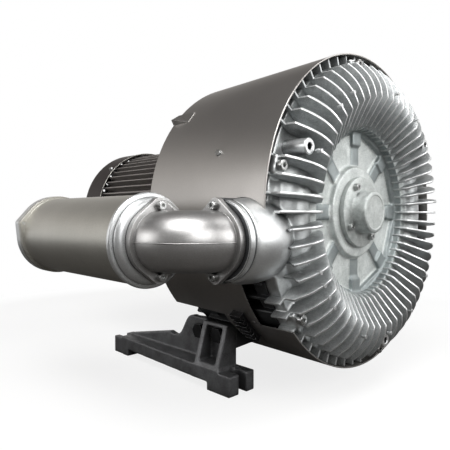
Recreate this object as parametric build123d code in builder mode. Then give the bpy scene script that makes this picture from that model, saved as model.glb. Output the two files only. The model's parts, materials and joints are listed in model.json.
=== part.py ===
from build123d import *
import os
from math import cos, degrees, radians, sin, sqrt

# Two-stage side channel blower on feet, with a flange motor and a silencer on each port.
# All sizes are in millimetres. The shaft runs along Y, the ribbed front cover faces -Y and the
# motor is behind it at +Y. Z is up, and the origin is on the floor under the middle of the blower.
# Angles round the shaft are seen from the front: 0 is right (+X), 90 is up, 180 is left (-X).

# ---- Casing and stages
shaft_height = 320        # shaft above the floor
channel_circle = 200      # radius of the circle that the side channels follow
channel_radius = 38       # round section of a side channel
channel_land = 8          # casing face outside the channel, up to the impeller chamber's bore
flange_width = 16         # casing flanges, outside the chamber's bore
flange_depth = 24
casing_wall = 7
web_thickness = 10        # flat web inside the channels
partition = 20            # between the back-to-back channels of the two stages
split_setback = 34        # front split plane behind the shroud's rim
stripper_start = 205      # each stage's channel is closed over this span
stripper_span = 30
rear_stripper_start = 262
rear_stripper_span = 70

# ---- Impellers
impeller_width = 45
face_clearance = 0.5
tip_clearance = 3
blade_count = 48
blade_thickness = 3.5
impeller_web = 14
impeller_hub_radius = 42

# ---- Front cover
fin_count = 60
fin_thickness = 4.5
fin_reach = 79            # fin crests ahead of the front split
fin_foot_radius = 145     # inner ends of the fins
fin_foot_reach = 46
fin_shoulder_radius = 242
fin_shoulder_reach = 64
fin_rim_reach = 48
fin_tab_reach = 30        # tabs that run on under the shroud
shroud_clearance = 1.5
rib_count = 8
rib_width = 29
rib_root = 8              # how far a rib runs into the hub
hub_ring_radius = 83
hub_ring_reach = 21       # hub ring face ahead of the front split
hub_pad_reach = 22
flat_ring_inner = 154     # flat ring between the fins' roots
flat_ring_outer = 168
flat_ring_reach = 30
land_apothem = 140        # octagon inside the flat ring, with its corners on the ribs
lifting_boss_angles = (36, 156, 276)
lifting_boss_radius = 12.5
lifting_boss_circle = 235
lifting_boss_reach = 66
lifting_thread = 11
lifting_depth = 20
crossover_angle = 246     # bulge where the first stage hands over to the second
crossover_radius = 50
crossover_circle = 210
crossover_hole = 28
crossover_setback = 12    # centre of the bulge ahead of the front split

# ---- Bolts that hold the covers on the middle housing
lug_angles = (99, 165, 219, 279, 339, 39)
rear_lug_angles = (21, 81, 141, 201, 261, 321)  # clear of the outlet's bulge
lug_width = 30
lug_reach = 7.5           # lugs outside the flanges
lug_bolt_inset = 2        # bolt circle inside the flange radius
cover_bolt = 10           # thread
cover_bolt_grip = 20      # thread length in the housing
bolt_hole_gap = 0.5       # hole radius over the bolt's
lug_front_reach = 38

# ---- Shroud
shroud_gap = 16           # between the casing flanges and the sheet
shroud_sheet = 2
shroud_length = 285
shroud_taper = 8          # radius lost from front to rear
shroud_seam_angle = 40    # seam between upper and lower sheet, below the horizontal
shroud_seam_gap = 3
shroud_port_gap = 5
shroud_window = 100       # openings for the feet start this far from the shaft's plane
notch_share = 0.45        # straight edge of a port's notch, as a share of the port's radius
shroud_screw_angles = (100, 20, 160, 270)
shroud_screw_y = 112      # behind the rim
shroud_screw = 6
pan_height = 0.6          # domed screw heads, as a share of the thread
pan_taper = 20
shroud_boss_radius = 11
clamp_arc = 13.4          # span round the shroud
clamp_drop = 3            # its middle below the seam
clamp_y = 92              # behind the rim
clamp_width = 24
clamp_thickness = 12
clamp_ribs = 6

# ---- Ports, elbows and silencers
port_outer = 58
port_bore = 38
port_setback = 9          # port axis behind the front split
port_drop = 41            # port axis below the shaft
port_reach = 324          # flange face from the shaft's plane
port_flange = 36
port_fin_end = 245        # fins end here over the inlet's bulge, from the shaft's plane
ear_offset = 50           # screws above and below the port's axis
ear_radius = 11
port_screw = 8
port_thread = 18          # depth of its hole
gasket = 1.5
elbow_outer = 43
elbow_flange = 9
elbow_bend = 54
silencer_radius = 66
silencer_sheet = 2
silencer_length = 294     # sheet tube between its end castings
collar_depth = 12
collar_face_radius = 56
collar_wall = 6
spigot_depth = 14
end_ring_radius = 70.5
end_cap_depth = 14
end_ring_depth = 8
end_ear_offset = 70
end_ear_radius = 6.3
end_ear_tilt = 18         # ears turned from the horizontal
end_bolt = 5
outlet_bore = 42.5        # pipe thread in the silencer's rear face
lining_gap = 1
perforated_radius = 40
perforated_sheet = 1.5

# ---- Shaft and its bearings
bearing_bore = 20         # radii and width of the ball bearings
bearing_outer = 40
bearing_width = 18
bearing_pitch = 30
ball_radius = 5.6
ball_count = 9
ball_gap = 0.3
ring_wall = 6
cage_sheet = 3
cage_margin = 1.5
impeller_seat = 22.5      # shaft radius under the impellers
sleeve_length = 9
sleeve_radius = 26
seal_radius = 33
seal_width = 7
seal_gap = 0.3
spacer_wall = 8
running_gap = 2
shoulder_radius = 30
rear_seal_radius = 44
rear_shoulder = 4         # shaft shoulder at the rear bearing, over its bore
key_width = 10
key_height = 8
key_length = 36
nut_width = 9
nut_radius = 28
shaft_nose = 4.5          # shaft end ahead of its nut
cap_radius = 64
cap_flange = 9
cap_nose_radius = 38
cap_nose_reach = 26       # nose ahead of the cap's flange
cap_wall = 6
cap_round = 5
cap_screw = 8
cap_screw_circle = 52
cap_screw_angle = 30

# ---- Motor
lantern_length = 68       # rear split to motor face
lantern_radius = 142
lantern_wall = 14
motor_length = 378
motor_radius = 135
motor_bore = 115
motor_fin_radius = 158
motor_fin_count = 60
motor_fin_thickness = 3
motor_flange_depth = 14
motor_front_wall = 12
motor_bolt_circle = 147
motor_bolt = 10
motor_bolt_count = 8
rotor_radius = 70
rotor_seat = 27           # shaft radius under the rotor core
air_gap = 0.8
core_length = 190
core_setback = 95         # core behind the motor face
slot_count = 36
slot_width = 6
slot_depth = 24
slot_lip = 3
slot_mouth = 2.5
winding_head = 42
winding_clear = 3
winding_gap = 0.5
shield_thickness = 16
shield_spigot = 6
shield_bolt = 8
shield_bolt_count = 4
fan_gap = 8
fan_width = 30
fan_radius = 138
fan_hub_radius = 34
fan_blade_count = 9
fan_sheet = 3
grille_gap = 8
cowl_radius = 165
cowl_sheet = 3
cowl_lap = 10             # cowl over the ends of the fins
grille_slots = 36
grille_inner = 40
grille_slot_width = 7
cowl_screw = 6

# ---- Terminal box on the motor's right side
box_setback = 180         # middle of the box behind the motor face
box_length = 130
box_height = 110
box_depth = 62
box_wall = 5
box_pad = 6
lid_thickness = 8
lid_screw = 5
board_thickness = 8
stud_radius = 3
stud_length = 18
gland_radius = 16
gland_thread = 12         # radii of its thread and its cap
gland_cap = 13
gland_bore = 8
gland_length = 26

# ---- Feet
foot_angle = 50.4         # pedestal's top corner, below the horizontal through the shaft
foot_casing_gap = 1.5     # pedestal's top corner outside the casing flanges
foot_front = 130          # front end behind the rim
foot_length = 386
foot_taper = 12           # narrower at the rear end, on the outside
foot_width = 50
foot_pad_length = 58
foot_pad_inset = 14       # pads reach inside the foot's inner face
foot_pad_height = 36
foot_arch = 14            # underside of the beam between the pads
foot_beam_top = 40
foot_slot_width = 19
foot_slot_depth = 20      # end of the foot to the slot's round end
foot_slot_inset = 16      # slot's middle outside the foot's inner face
foot_web = 13
foot_web_curve = ((0, 0), (19, 4), (33, 23), (80, 44))  # web's edge behind and below the ear
foot_web_tail = (221, 73)
pedestal_start = 161      # behind the rim
pedestal_length = 64
pedestal_top_width = 24
pedestal_rib = 11
pedestal_bar = 8
pedestal_pocket = 62
rear_ear_length = 38
foot_bolt = 16
foot_bolt_drop = 25       # bolt below the pedestal's top
foot_bolt_grip = 26
foot_lug_height = 45
foot_lug_roots = (57, 74)  # where the casing's foot lugs spring from it, below the horizontal

# ---- Fasteners, as shares of their thread diameter
socket_head = 1.6         # head diameter of a cap screw
socket_key = 0.42         # corner radius of its hexagon
hex_head = 1.6            # across flats of a hexagon head
hex_height = 0.65

# ---- Stations along the shaft and radii that follow from the sizes above
chamber_width = impeller_width + 2 * face_clearance
stage_pitch = chamber_width + 2 * channel_radius + partition
rear_reach = (split_setback + stage_pitch + chamber_width + lantern_length + motor_length
              + shield_thickness + fan_gap + fan_width + grille_gap + cowl_sheet)
rim_y = (fin_reach - split_setback - rear_reach) / 2
front_split = rim_y + split_setback
front_chamber_end = front_split + chamber_width
rear_chamber_start = front_split + stage_pitch
rear_split = rear_chamber_start + chamber_width
motor_face = rear_split + lantern_length
frame_end = motor_face + motor_length
shield_end = frame_end + shield_thickness
fan_start = shield_end + fan_gap
fan_end = fan_start + fan_width
cowl_end = fan_end + grille_gap + cowl_sheet
shroud_end = rim_y + shroud_length

chamber_radius = channel_circle + channel_radius + channel_land
casing_radius = chamber_radius + flange_width
housing_radius = chamber_radius + casing_wall
shell_radius = channel_radius + casing_wall
impeller_radius = chamber_radius - tip_clearance
rim_radius = casing_radius + shroud_gap + shroud_sheet
lug_bolt_circle = casing_radius - lug_bolt_inset
lug_radius = casing_radius + lug_reach
port_z = shaft_height - port_drop
port_split = casing_radius + shroud_clearance
left_port_y = front_split + port_setback
right_port_y = rear_split - port_setback
silencer_x = port_reach + gasket + elbow_flange + elbow_bend
spacer_radius = impeller_seat + spacer_wall
spacer_start = front_chamber_end - face_clearance
rear_hub_end = rear_split - face_clearance
front_bearing_end = front_split + face_clearance - sleeve_length
front_bearing_start = front_bearing_end - bearing_width
hub_pad_y = front_split - hub_pad_reach
hub_pad_radius = cap_radius + 2
rear_bearing_start = frame_end - shield_spigot
rear_bearing_end = rear_bearing_start + bearing_width
core_start = motor_face + core_setback
core_end = core_start + core_length
foot_inner = (casing_radius + foot_casing_gap) * cos(radians(foot_angle))
pedestal_top = shaft_height - (casing_radius + foot_casing_gap) * sin(radians(foot_angle))
foot_bolt_height = pedestal_top - foot_bolt_drop
foot_y = rim_y + foot_front
foot_end = foot_y + foot_length
pedestal_y = rim_y + pedestal_start
pedestal_end = pedestal_y + pedestal_length
ear_end = pedestal_end + rear_ear_length

shaft_axis = Axis((0, 0, shaft_height), (0, 1, 0))


def across(y):
    """Plane square to the shaft at y, seen from the front."""
    return Plane(origin=(0, y, shaft_height), x_dir=(1, 0, 0), z_dir=(0, -1, 0))


def ray(angle):
    """Section plane through the shaft: local x along the shaft, local y outwards."""
    c, s = cos(radians(angle)), sin(radians(angle))
    return Plane(origin=(0, 0, shaft_height), x_dir=(0, 1, 0), z_dir=(s, 0, -c))


def behind(y):
    """Plane square to the shaft at y, seen from the motor's end."""
    return Plane(origin=(0, y, shaft_height), x_dir=(-1, 0, 0), z_dir=(0, 1, 0))


def outward(angle, y, radius):
    """Plane facing away from the shaft at an angle: local x along the shaft."""
    c, s = cos(radians(angle)), sin(radians(angle))
    return Plane(origin=(radius * c, y, shaft_height + radius * s), x_dir=(0, 1, 0), z_dir=(c, 0, s))


def port_face(side, x, y):
    """Plane square to a port's axis, facing out on its side (-1 left, 1 right)."""
    return Plane(origin=(side * x, y, port_z), x_dir=(0, 1, 0), z_dir=(side, 0, 0))


def pipe_face(side, y):
    """Plane square to a silencer's axis, seen from the front."""
    return Plane(origin=(side * silencer_x, y, port_z), x_dir=(1, 0, 0), z_dir=(0, -1, 0))


def pipe_section(side):
    """Section plane of a silencer: local x along its axis, local y outwards (up)."""
    return Plane(origin=(side * silencer_x, 0, port_z), x_dir=(0, 1, 0), z_dir=(1, 0, 0))


def band(y1, y2, r1, r2, mode=Mode.ADD):
    """Rectangle of a section, from y1 to y2 along the axis and r1 to r2 outwards."""
    with Locations(((y1 + y2) / 2, (r1 + r2) / 2)):
        Rectangle(abs(y2 - y1), abs(r2 - r1), mode=mode)


def shroud_radius(y):
    """Outer radius of the tapered shroud at y."""
    return rim_radius - shroud_taper * (y - rim_y) / shroud_length


def lug_blocks(reach, angles):
    """Squares for the cover bolts' lugs, in a sketch across the shaft."""
    for angle in angles:
        with PolarLocations(lug_radius - reach / 2, 1, start_angle=angle):
            Rectangle(reach, lug_width)


def lug_circles(radius, angles):
    for angle in angles:
        with PolarLocations(lug_bolt_circle, 1, start_angle=angle):
            Circle(radius)


def cap_screws(plane, places, size, length):
    """Socket-head cap screws. The plane faces out at the seat of their heads."""
    head = size * socket_head / 2
    with BuildPart() as screws:
        with BuildSketch(plane):
            with Locations(*places):
                Circle(head)
        extrude(amount=size)
        with BuildSketch(plane):
            with Locations(*places):
                Circle(size / 2)
        extrude(amount=-length)
        with BuildSketch(plane.offset(size)):
            with Locations(*places):
                RegularPolygon(size * socket_key, 6)
        extrude(amount=-size * 0.5, mode=Mode.SUBTRACT)
    return screws.part


def hex_bolts(plane, places, size, length):
    """Hexagon bolts. The plane faces out at the seat of their heads."""
    with BuildPart() as bolts:
        with BuildSketch(plane):
            with Locations(*places):
                RegularPolygon(size * hex_head / 2, 6, major_radius=False)
        extrude(amount=size * hex_height)
        with BuildSketch(plane):
            with Locations(*places):
                Circle(size / 2)
        extrude(amount=-length)
    return bolts.part


def polar(radius, angles):
    """Points on a circle, for a sketch across the shaft."""
    return [(radius * cos(radians(a)), radius * sin(radians(a))) for a in angles]


def around(part, count, skip=()):
    """Copies of a part, evenly turned round the shaft."""
    return [part.rotate(shaft_axis, -360 * i / count) for i in range(count) if i not in skip]


def ear_flange(outer, offset, radius):
    """Round flange drawn out to an ear above and below."""
    Circle(outer)
    with Locations((0, offset), (0, -offset)):
        Circle(radius)
    make_hull()


cap_places = polar(cap_screw_circle, [cap_screw_angle + 90 * i for i in range(4)])

# ---- Front cover: ribbed casting with the first stage's front channel
with BuildPart() as cover_fin:
    fin_outer = rim_radius - shroud_sheet - shroud_clearance
    with BuildSketch(ray(0)):
        with BuildLine():
            Polyline(
                (front_split - web_thickness / 2, fin_foot_radius),
                (front_split - fin_foot_reach, fin_foot_radius),
                (front_split - fin_reach, channel_circle),
            )
            Spline(
                (front_split - fin_reach, channel_circle),
                (front_split - fin_shoulder_reach, fin_shoulder_radius),
                (front_split - fin_rim_reach, casing_radius),
                tangents=[(0, 1), (1, 1)],
            )
            Polyline(
                (front_split - fin_rim_reach, casing_radius),
                (front_split - fin_tab_reach, casing_radius),
                (front_split - fin_tab_reach, fin_outer),
                (front_split, fin_outer),
                (front_split, casing_radius - 1),
                (front_split - web_thickness / 2, casing_radius - 1),
                (front_split - web_thickness / 2, fin_foot_radius),
            )
        make_face()
        with Locations((front_split, channel_circle)):
            Circle(channel_radius + casing_wall / 2, mode=Mode.SUBTRACT)
    extrude(amount=fin_thickness / 2, both=True)

with BuildPart() as cover_fins:
    add(around(cover_fin.part, fin_count))
    # no fins where the port's bulge comes through
    with BuildSketch(across(front_split)):
        with Locations((-fin_outer - 1, -port_drop)):
            Rectangle(fin_outer + 1 - port_fin_end, 2 * port_outer, align=(Align.MIN, Align.CENTER))
    extrude(amount=fin_reach, mode=Mode.SUBTRACT)
    # nor outside a lifting boss
    with BuildSketch(across(front_split)):
        for angle in lifting_boss_angles:
            with PolarLocations((lifting_boss_circle - lifting_boss_radius + rim_radius) / 2, 1,
                                start_angle=angle):
                Rectangle(rim_radius - lifting_boss_circle + lifting_boss_radius, 2 * fin_thickness)
    extrude(amount=fin_reach, mode=Mode.SUBTRACT)

with BuildPart() as front_cover:
    with BuildSketch(ray(90)):
        with Locations((front_split, channel_circle)):
            Circle(shell_radius)
        band(front_split - flange_depth, front_split, chamber_radius - channel_land, casing_radius)
        band(front_split - web_thickness, front_split, bearing_outer, chamber_radius)
        band(front_split - hub_ring_reach, front_split, bearing_outer, hub_ring_radius)
        band(hub_pad_y, front_split, seal_radius, hub_pad_radius)
        band(front_split - flat_ring_reach, front_split, flat_ring_inner, flat_ring_outer)
        band(hub_pad_y, front_bearing_end, 0, bearing_outer, Mode.SUBTRACT)
        band(front_split, front_split + shell_radius, 0, casing_radius, Mode.SUBTRACT)
    revolve(axis=shaft_axis)
    # octagonal land, and wide ribs to it from the hub
    with BuildSketch(across(front_split)):
        Circle(flat_ring_inner + 1)
        RegularPolygon(land_apothem, rib_count, major_radius=False, mode=Mode.SUBTRACT)
        with PolarLocations((hub_pad_radius - rib_root + fin_foot_radius + casing_wall) / 2, rib_count):
            Rectangle(fin_foot_radius + casing_wall - hub_pad_radius + rib_root, rib_width)
    extrude(amount=hub_pad_reach - 2)
    # bolt lugs on the flange
    with BuildSketch(across(front_split)):
        lug_blocks(lug_radius - housing_radius + channel_land, lug_angles)
    extrude(amount=lug_front_reach)
    # bulge over the port's passage, with a round end on the channel
    with BuildSketch(port_face(-1, port_split, left_port_y)):
        Circle(port_outer)
    extrude(amount=channel_circle - port_split)
    with Locations((-channel_circle, left_port_y, port_z)):
        Sphere(port_outer)
    # bulge over the crossing to the second stage
    crossover_x, crossover_z = polar(crossover_circle, [crossover_angle])[0]
    crossover_centre = (crossover_x, front_split - crossover_setback, shaft_height + crossover_z)
    with Locations(crossover_centre):
        Sphere(crossover_radius)
    with BuildSketch(across(front_split)):
        with Locations(*polar(lifting_boss_circle, lifting_boss_angles)):
            Circle(lifting_boss_radius)
    extrude(amount=lifting_boss_reach)
    # everything behind the split plane goes
    with BuildSketch(across(front_split)):
        Circle(2 * rim_radius)
    extrude(amount=-2 * port_outer, mode=Mode.SUBTRACT)
    add(cover_fins.part)
    # side channel, passages and holes
    with BuildSketch(ray(stripper_start)):
        with Locations((front_split, channel_circle)):
            Circle(channel_radius)
    revolve(axis=shaft_axis, revolution_arc=360 - stripper_span, mode=Mode.SUBTRACT)
    with BuildSketch(port_face(-1, port_split, left_port_y)):
        Circle(port_outer - casing_wall)
    extrude(amount=channel_circle - port_split, mode=Mode.SUBTRACT)
    with Locations(crossover_centre):
        Sphere(crossover_radius - casing_wall, mode=Mode.SUBTRACT)
    with BuildSketch(across(front_split - lug_front_reach)):
        lug_circles(cover_bolt / 2 + bolt_hole_gap, lug_angles)
    extrude(amount=-lug_front_reach, mode=Mode.SUBTRACT)
    with BuildSketch(across(front_split - lifting_boss_reach)):
        with Locations(*polar(lifting_boss_circle, lifting_boss_angles)):
            Circle(lifting_thread / 2)
    extrude(amount=-lifting_depth, mode=Mode.SUBTRACT)
    with BuildSketch(across(hub_pad_y)):
        with Locations(*cap_places):
            Circle(cap_screw / 2)
    extrude(amount=-hub_pad_reach / 2, mode=Mode.SUBTRACT)
front_cover.part.label = "front_cover"

cap_face = hub_pad_y - cap_flange
with BuildPart() as bearing_cap:
    with BuildSketch(ray(90)):
        band(cap_face, hub_pad_y, 0, cap_radius)
        band(cap_face - cap_nose_reach, cap_face, 0, cap_nose_radius)
        band(front_bearing_start, hub_pad_y, 0, bearing_outer, Mode.SUBTRACT)
        band(cap_face - cap_nose_reach + cap_wall, front_bearing_start, 0, nut_radius + running_gap,
             Mode.SUBTRACT)
    revolve(axis=shaft_axis)
    nose = bearing_cap.edges().filter_by(GeomType.CIRCLE).sort_by(Axis.Y).first
    fillet(nose, radius=cap_round)
    with BuildSketch(across(cap_face)):
        with Locations(*cap_places):
            Circle(cap_screw / 2 + bolt_hole_gap)
    extrude(amount=-cap_flange, mode=Mode.SUBTRACT)
bearing_cap.part.label = "bearing_cap"

# ---- Middle housing: the first stage's rear channel and the second stage's front channel
partition_middle = (front_chamber_end + rear_chamber_start) / 2


def foot_face(side, x):
    """Plane parallel to a foot's side, facing outwards, local x along the shaft."""
    return Plane(origin=(side * x, 0, 0), x_dir=(0, 1, 0), z_dir=(side, 0, 0))


def foot_lug(side, y_start, y_end, bolt_y):
    """Block on the casing's lower side that takes a foot's bolt."""
    roots = [(side * x, -z) for x, z in polar(housing_radius - 1, foot_lug_roots)]
    top = pedestal_top - shaft_height - 1
    with BuildPart() as lug:
        with BuildSketch(across(y_start)):
            with BuildLine():
                Polyline(roots[0], (side * foot_inner, top),
                         (side * foot_inner, top - foot_lug_height), roots[1], close=True)
            make_face()
        extrude(amount=y_start - y_end)
        with BuildSketch(foot_face(side, foot_inner)):
            with Locations((bolt_y, side * foot_bolt_height)):
                Circle(foot_bolt / 2)
        extrude(amount=-foot_bolt_grip, mode=Mode.SUBTRACT)
    return lug.part


def port_tube(side, y):
    """Solid port with its two-eared flange, reaching in to the channel's circle."""
    with BuildPart() as tube:
        with BuildSketch(port_face(side, port_reach, y)):
            Circle(port_outer)
        extrude(amount=channel_circle - port_reach)
        with BuildSketch(port_face(side, port_reach, y)):
            ear_flange(port_outer, ear_offset, ear_radius)
        extrude(amount=-port_flange)
    return tube.part


def port_passage(side, y):
    """The air passage of a port and its screw holes, to be cut."""
    with BuildPart() as passage:
        with BuildSketch(port_face(side, port_reach, y)):
            Circle(port_bore)
        extrude(amount=-port_flange)
        with BuildSketch(port_face(side, port_reach, y)):
            with Locations((0, ear_offset), (0, -ear_offset)):
                Circle(port_screw / 2)
        extrude(amount=-port_thread)
        with BuildSketch(port_face(side, port_reach - port_flange, y)):
            Circle(port_outer - casing_wall)
        extrude(amount=channel_circle - port_reach + port_flange)
    return passage.part


front_foot_bolt_y = pedestal_y + pedestal_length / 2
rear_foot_bolt_y = pedestal_end + rear_ear_length / 2
housing_foot_lugs = [foot_lug(side, pedestal_y + 1, rear_split, front_foot_bolt_y)
                     for side in (-1, 1)]

with BuildPart() as middle_housing:
    with BuildSketch(ray(90)):
        band(front_split, rear_split, chamber_radius, housing_radius)
        band(front_split, front_split + flange_depth, chamber_radius, casing_radius)
        band(rear_split - flange_depth, rear_split, chamber_radius, casing_radius)
        band(front_chamber_end, rear_chamber_start, channel_circle, housing_radius)
        with Locations((front_chamber_end, channel_circle), (rear_chamber_start, channel_circle)):
            Circle(shell_radius)
        band(partition_middle - web_thickness / 2, partition_middle + web_thickness / 2,
             spacer_radius + running_gap, channel_circle)
    revolve(axis=shaft_axis)
    add([port_tube(-1, left_port_y), port_tube(1, right_port_y)])
    # inside the flanges, the ports stop at the splits
    with BuildSketch(across(front_split)):
        Rectangle(2 * port_split, 2 * rim_radius)
    extrude(amount=port_outer, mode=Mode.SUBTRACT)
    with BuildSketch(across(rear_split)):
        Rectangle(2 * port_split, 2 * rim_radius)
    extrude(amount=-port_outer, mode=Mode.SUBTRACT)
    with BuildSketch(across(front_split)):
        lug_blocks(lug_radius - housing_radius + 1, lug_angles)
    extrude(amount=-lug_front_reach)
    with BuildSketch(across(rear_split)):
        lug_blocks(lug_radius - housing_radius + 1, rear_lug_angles)
    extrude(amount=lug_front_reach)
    add(housing_foot_lugs)
    # cooling fins under the shroud, in line with the cover's
    with BuildSketch(across(front_split)):
        with PolarLocations((housing_radius - 1 + lug_radius) / 2, fin_count):
            Rectangle(lug_radius - housing_radius + 1, fin_thickness)
    extrude(amount=front_split - rear_split)
    shroud_screw_station = rim_y + shroud_screw_y
    sheet_inside = shroud_radius(shroud_screw_station + shroud_boss_radius) - shroud_sheet
    shroud_seat = sqrt(sheet_inside ** 2 - shroud_boss_radius ** 2)
    for angle in shroud_screw_angles:
        with BuildSketch(outward(angle, shroud_screw_station, shroud_seat)):
            Circle(shroud_boss_radius)
        extrude(amount=housing_radius - shroud_seat - 2)
    # impeller chambers, channels, crossing and passages
    with BuildSketch(ray(90)):
        band(front_split, front_chamber_end, 0, chamber_radius)
        band(rear_chamber_start, rear_split, 0, chamber_radius)
    revolve(axis=shaft_axis, mode=Mode.SUBTRACT)
    with BuildSketch(ray(stripper_start)):
        with Locations((front_chamber_end, channel_circle)):
            Circle(channel_radius)
    revolve(axis=shaft_axis, revolution_arc=360 - stripper_span, mode=Mode.SUBTRACT)
    with BuildSketch(ray(rear_stripper_start)):
        with Locations((rear_chamber_start, channel_circle)):
            Circle(channel_radius)
    revolve(axis=shaft_axis, revolution_arc=360 - rear_stripper_span, mode=Mode.SUBTRACT)
    add([port_passage(-1, left_port_y), port_passage(1, right_port_y)], mode=Mode.SUBTRACT)
    with BuildSketch(across(front_chamber_end)):
        with Locations(*polar(channel_circle, [crossover_angle])):
            Circle(crossover_hole)
    extrude(amount=front_chamber_end - rear_chamber_start, mode=Mode.SUBTRACT)
    for y, depth, angles in ((front_split, -cover_bolt_grip, lug_angles),
                             (rear_split, cover_bolt_grip, rear_lug_angles)):
        with BuildSketch(across(y)):
            lug_circles(cover_bolt / 2, angles)
        extrude(amount=depth, mode=Mode.SUBTRACT)
    for angle in shroud_screw_angles:
        with BuildSketch(outward(angle, shroud_screw_station, shroud_seat)):
            Circle(shroud_screw / 2)
        extrude(amount=-2 * shroud_screw, mode=Mode.SUBTRACT)
middle_housing.part.label = "middle_housing"

# ---- Rear cover: the second stage's rear channel and the lantern that carries the motor
with BuildPart() as rear_fin:
    with BuildSketch(ray(0)):
        with BuildLine():
            Polyline(
                (rear_split + web_thickness / 2, lantern_radius - 1),
                (rear_split + fin_foot_reach, lantern_radius - 1),
                (rear_split + shell_radius + web_thickness, channel_circle),
                (rear_split + fin_rim_reach - web_thickness, casing_radius),
                (rear_split + web_thickness / 2, casing_radius),
                close=True,
            )
        make_face()
        with Locations((rear_split, channel_circle)):
            Circle(channel_radius + casing_wall / 2, mode=Mode.SUBTRACT)
    extrude(amount=fin_thickness / 2, both=True)

rear_foot_lugs = [foot_lug(side, rear_split, ear_end, rear_foot_bolt_y) for side in (-1, 1)]

with BuildPart() as rear_cover:
    with BuildSketch(ray(90)):
        with Locations((rear_split, channel_circle)):
            Circle(shell_radius)
        band(rear_split, rear_split + flange_depth, chamber_radius - channel_land, casing_radius)
        band(rear_split, rear_split + web_thickness, rear_seal_radius, chamber_radius)
        band(rear_split, rear_split + 2 * web_thickness, shoulder_radius + running_gap,
             rear_seal_radius + casing_wall)
        band(rear_split, rear_split + seal_width + 1, 0, rear_seal_radius, Mode.SUBTRACT)
        band(rear_split - shell_radius, rear_split, 0, casing_radius, Mode.SUBTRACT)
        band(rear_split + web_thickness / 2, motor_face, lantern_radius - lantern_wall, lantern_radius)
        band(motor_face - motor_flange_depth, motor_face, lantern_radius - lantern_wall,
             motor_fin_radius)
    revolve(axis=shaft_axis)
    with BuildSketch(across(rear_split)):
        lug_blocks(lug_radius - housing_radius + channel_land, rear_lug_angles)
    extrude(amount=-flange_depth)
    # the outlet's bulge, like the inlet's on the front cover
    with BuildSketch(port_face(1, port_split, right_port_y)):
        Circle(port_outer)
    extrude(amount=channel_circle - port_split)
    with Locations((channel_circle, right_port_y, port_z)):
        Sphere(port_outer)
    with BuildSketch(across(rear_split)):
        Circle(2 * rim_radius)
    extrude(amount=2 * port_outer, mode=Mode.SUBTRACT)
    add(around(rear_fin.part, fin_count))
    add(rear_foot_lugs)
    with BuildSketch(ray(rear_stripper_start)):
        with Locations((rear_split, channel_circle)):
            Circle(channel_radius)
    revolve(axis=shaft_axis, revolution_arc=360 - rear_stripper_span, mode=Mode.SUBTRACT)
    with BuildSketch(port_face(1, port_split, right_port_y)):
        Circle(port_outer - casing_wall)
    extrude(amount=channel_circle - port_split, mode=Mode.SUBTRACT)
    with BuildSketch(across(rear_split)):
        lug_circles(cover_bolt / 2 + bolt_hole_gap, rear_lug_angles)
    extrude(amount=-flange_depth, mode=Mode.SUBTRACT)
    motor_bolt_places = polar(motor_bolt_circle, [360 * (i + 0.5) / motor_bolt_count
                                                  for i in range(motor_bolt_count)])
    with BuildSketch(behind(motor_face)):
        with Locations(*motor_bolt_places):
            Circle(motor_bolt / 2)
    extrude(amount=-motor_flange_depth, mode=Mode.SUBTRACT)
rear_cover.part.label = "rear_cover"

# ---- Impellers, shaft and what turns with them
def impeller(y):
    """Disc with blade pockets on both faces, its front face at y."""
    middle = y + impeller_width / 2
    rim_inner = channel_circle - channel_radius - channel_land
    blade_inner = channel_circle - channel_radius - 1
    with BuildPart() as wheel:
        with BuildSketch(ray(90)):
            band(y, y + impeller_width, impeller_seat, impeller_hub_radius)
            band(middle - impeller_web / 2, middle + impeller_web / 2, impeller_seat, rim_inner + 1)
            band(y, y + impeller_width, rim_inner, impeller_radius)
            with Locations((y, channel_circle), (y + impeller_width, channel_circle)):
                Ellipse(impeller_width * 0.42, channel_radius, mode=Mode.SUBTRACT)
            band(y, y + impeller_width, channel_circle + channel_radius * 0.5, impeller_radius + 1,
                 Mode.SUBTRACT)
        revolve(axis=shaft_axis)
        with BuildSketch(across(y)):
            with PolarLocations((blade_inner + impeller_radius) / 2, blade_count):
                Rectangle(impeller_radius - blade_inner, blade_thickness)
        extrude(amount=-impeller_width)
        with BuildSketch(across(y)):
            with Locations((0, impeller_seat)):
                Rectangle(key_width, key_height)
        extrude(amount=-impeller_width, mode=Mode.SUBTRACT)
    return wheel.part


def sleeve(y1, y2, r1, r2):
    """Plain ring on the shaft."""
    with BuildPart() as tube:
        with BuildSketch(ray(90)):
            band(y1, y2, r1, r2)
        revolve(axis=shaft_axis)
    return tube.part


with BuildPart() as front_impeller:
    add(impeller(front_split + face_clearance))
front_impeller.part.label = "front_impeller"

with BuildPart() as rear_impeller:
    add(impeller(rear_chamber_start + face_clearance))
rear_impeller.part.label = "rear_impeller"

with BuildPart() as impeller_spacer:
    add(sleeve(spacer_start, rear_chamber_start + face_clearance, impeller_seat, spacer_radius))
impeller_spacer.part.label = "impeller_spacer"

with BuildPart() as seal_sleeve:
    add(sleeve(front_bearing_end, front_split + face_clearance, impeller_seat, sleeve_radius))
seal_sleeve.part.label = "seal_sleeve"

key_stations = [front_split + chamber_width / 2, rear_split - chamber_width / 2]
key_places = [(0, y, shaft_height + impeller_seat) for y in key_stations]
with BuildPart() as impeller_keys:
    with Locations(*key_places):
        Box(key_width, key_length, key_height)
impeller_keys.part.label = "impeller_keys"

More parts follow.
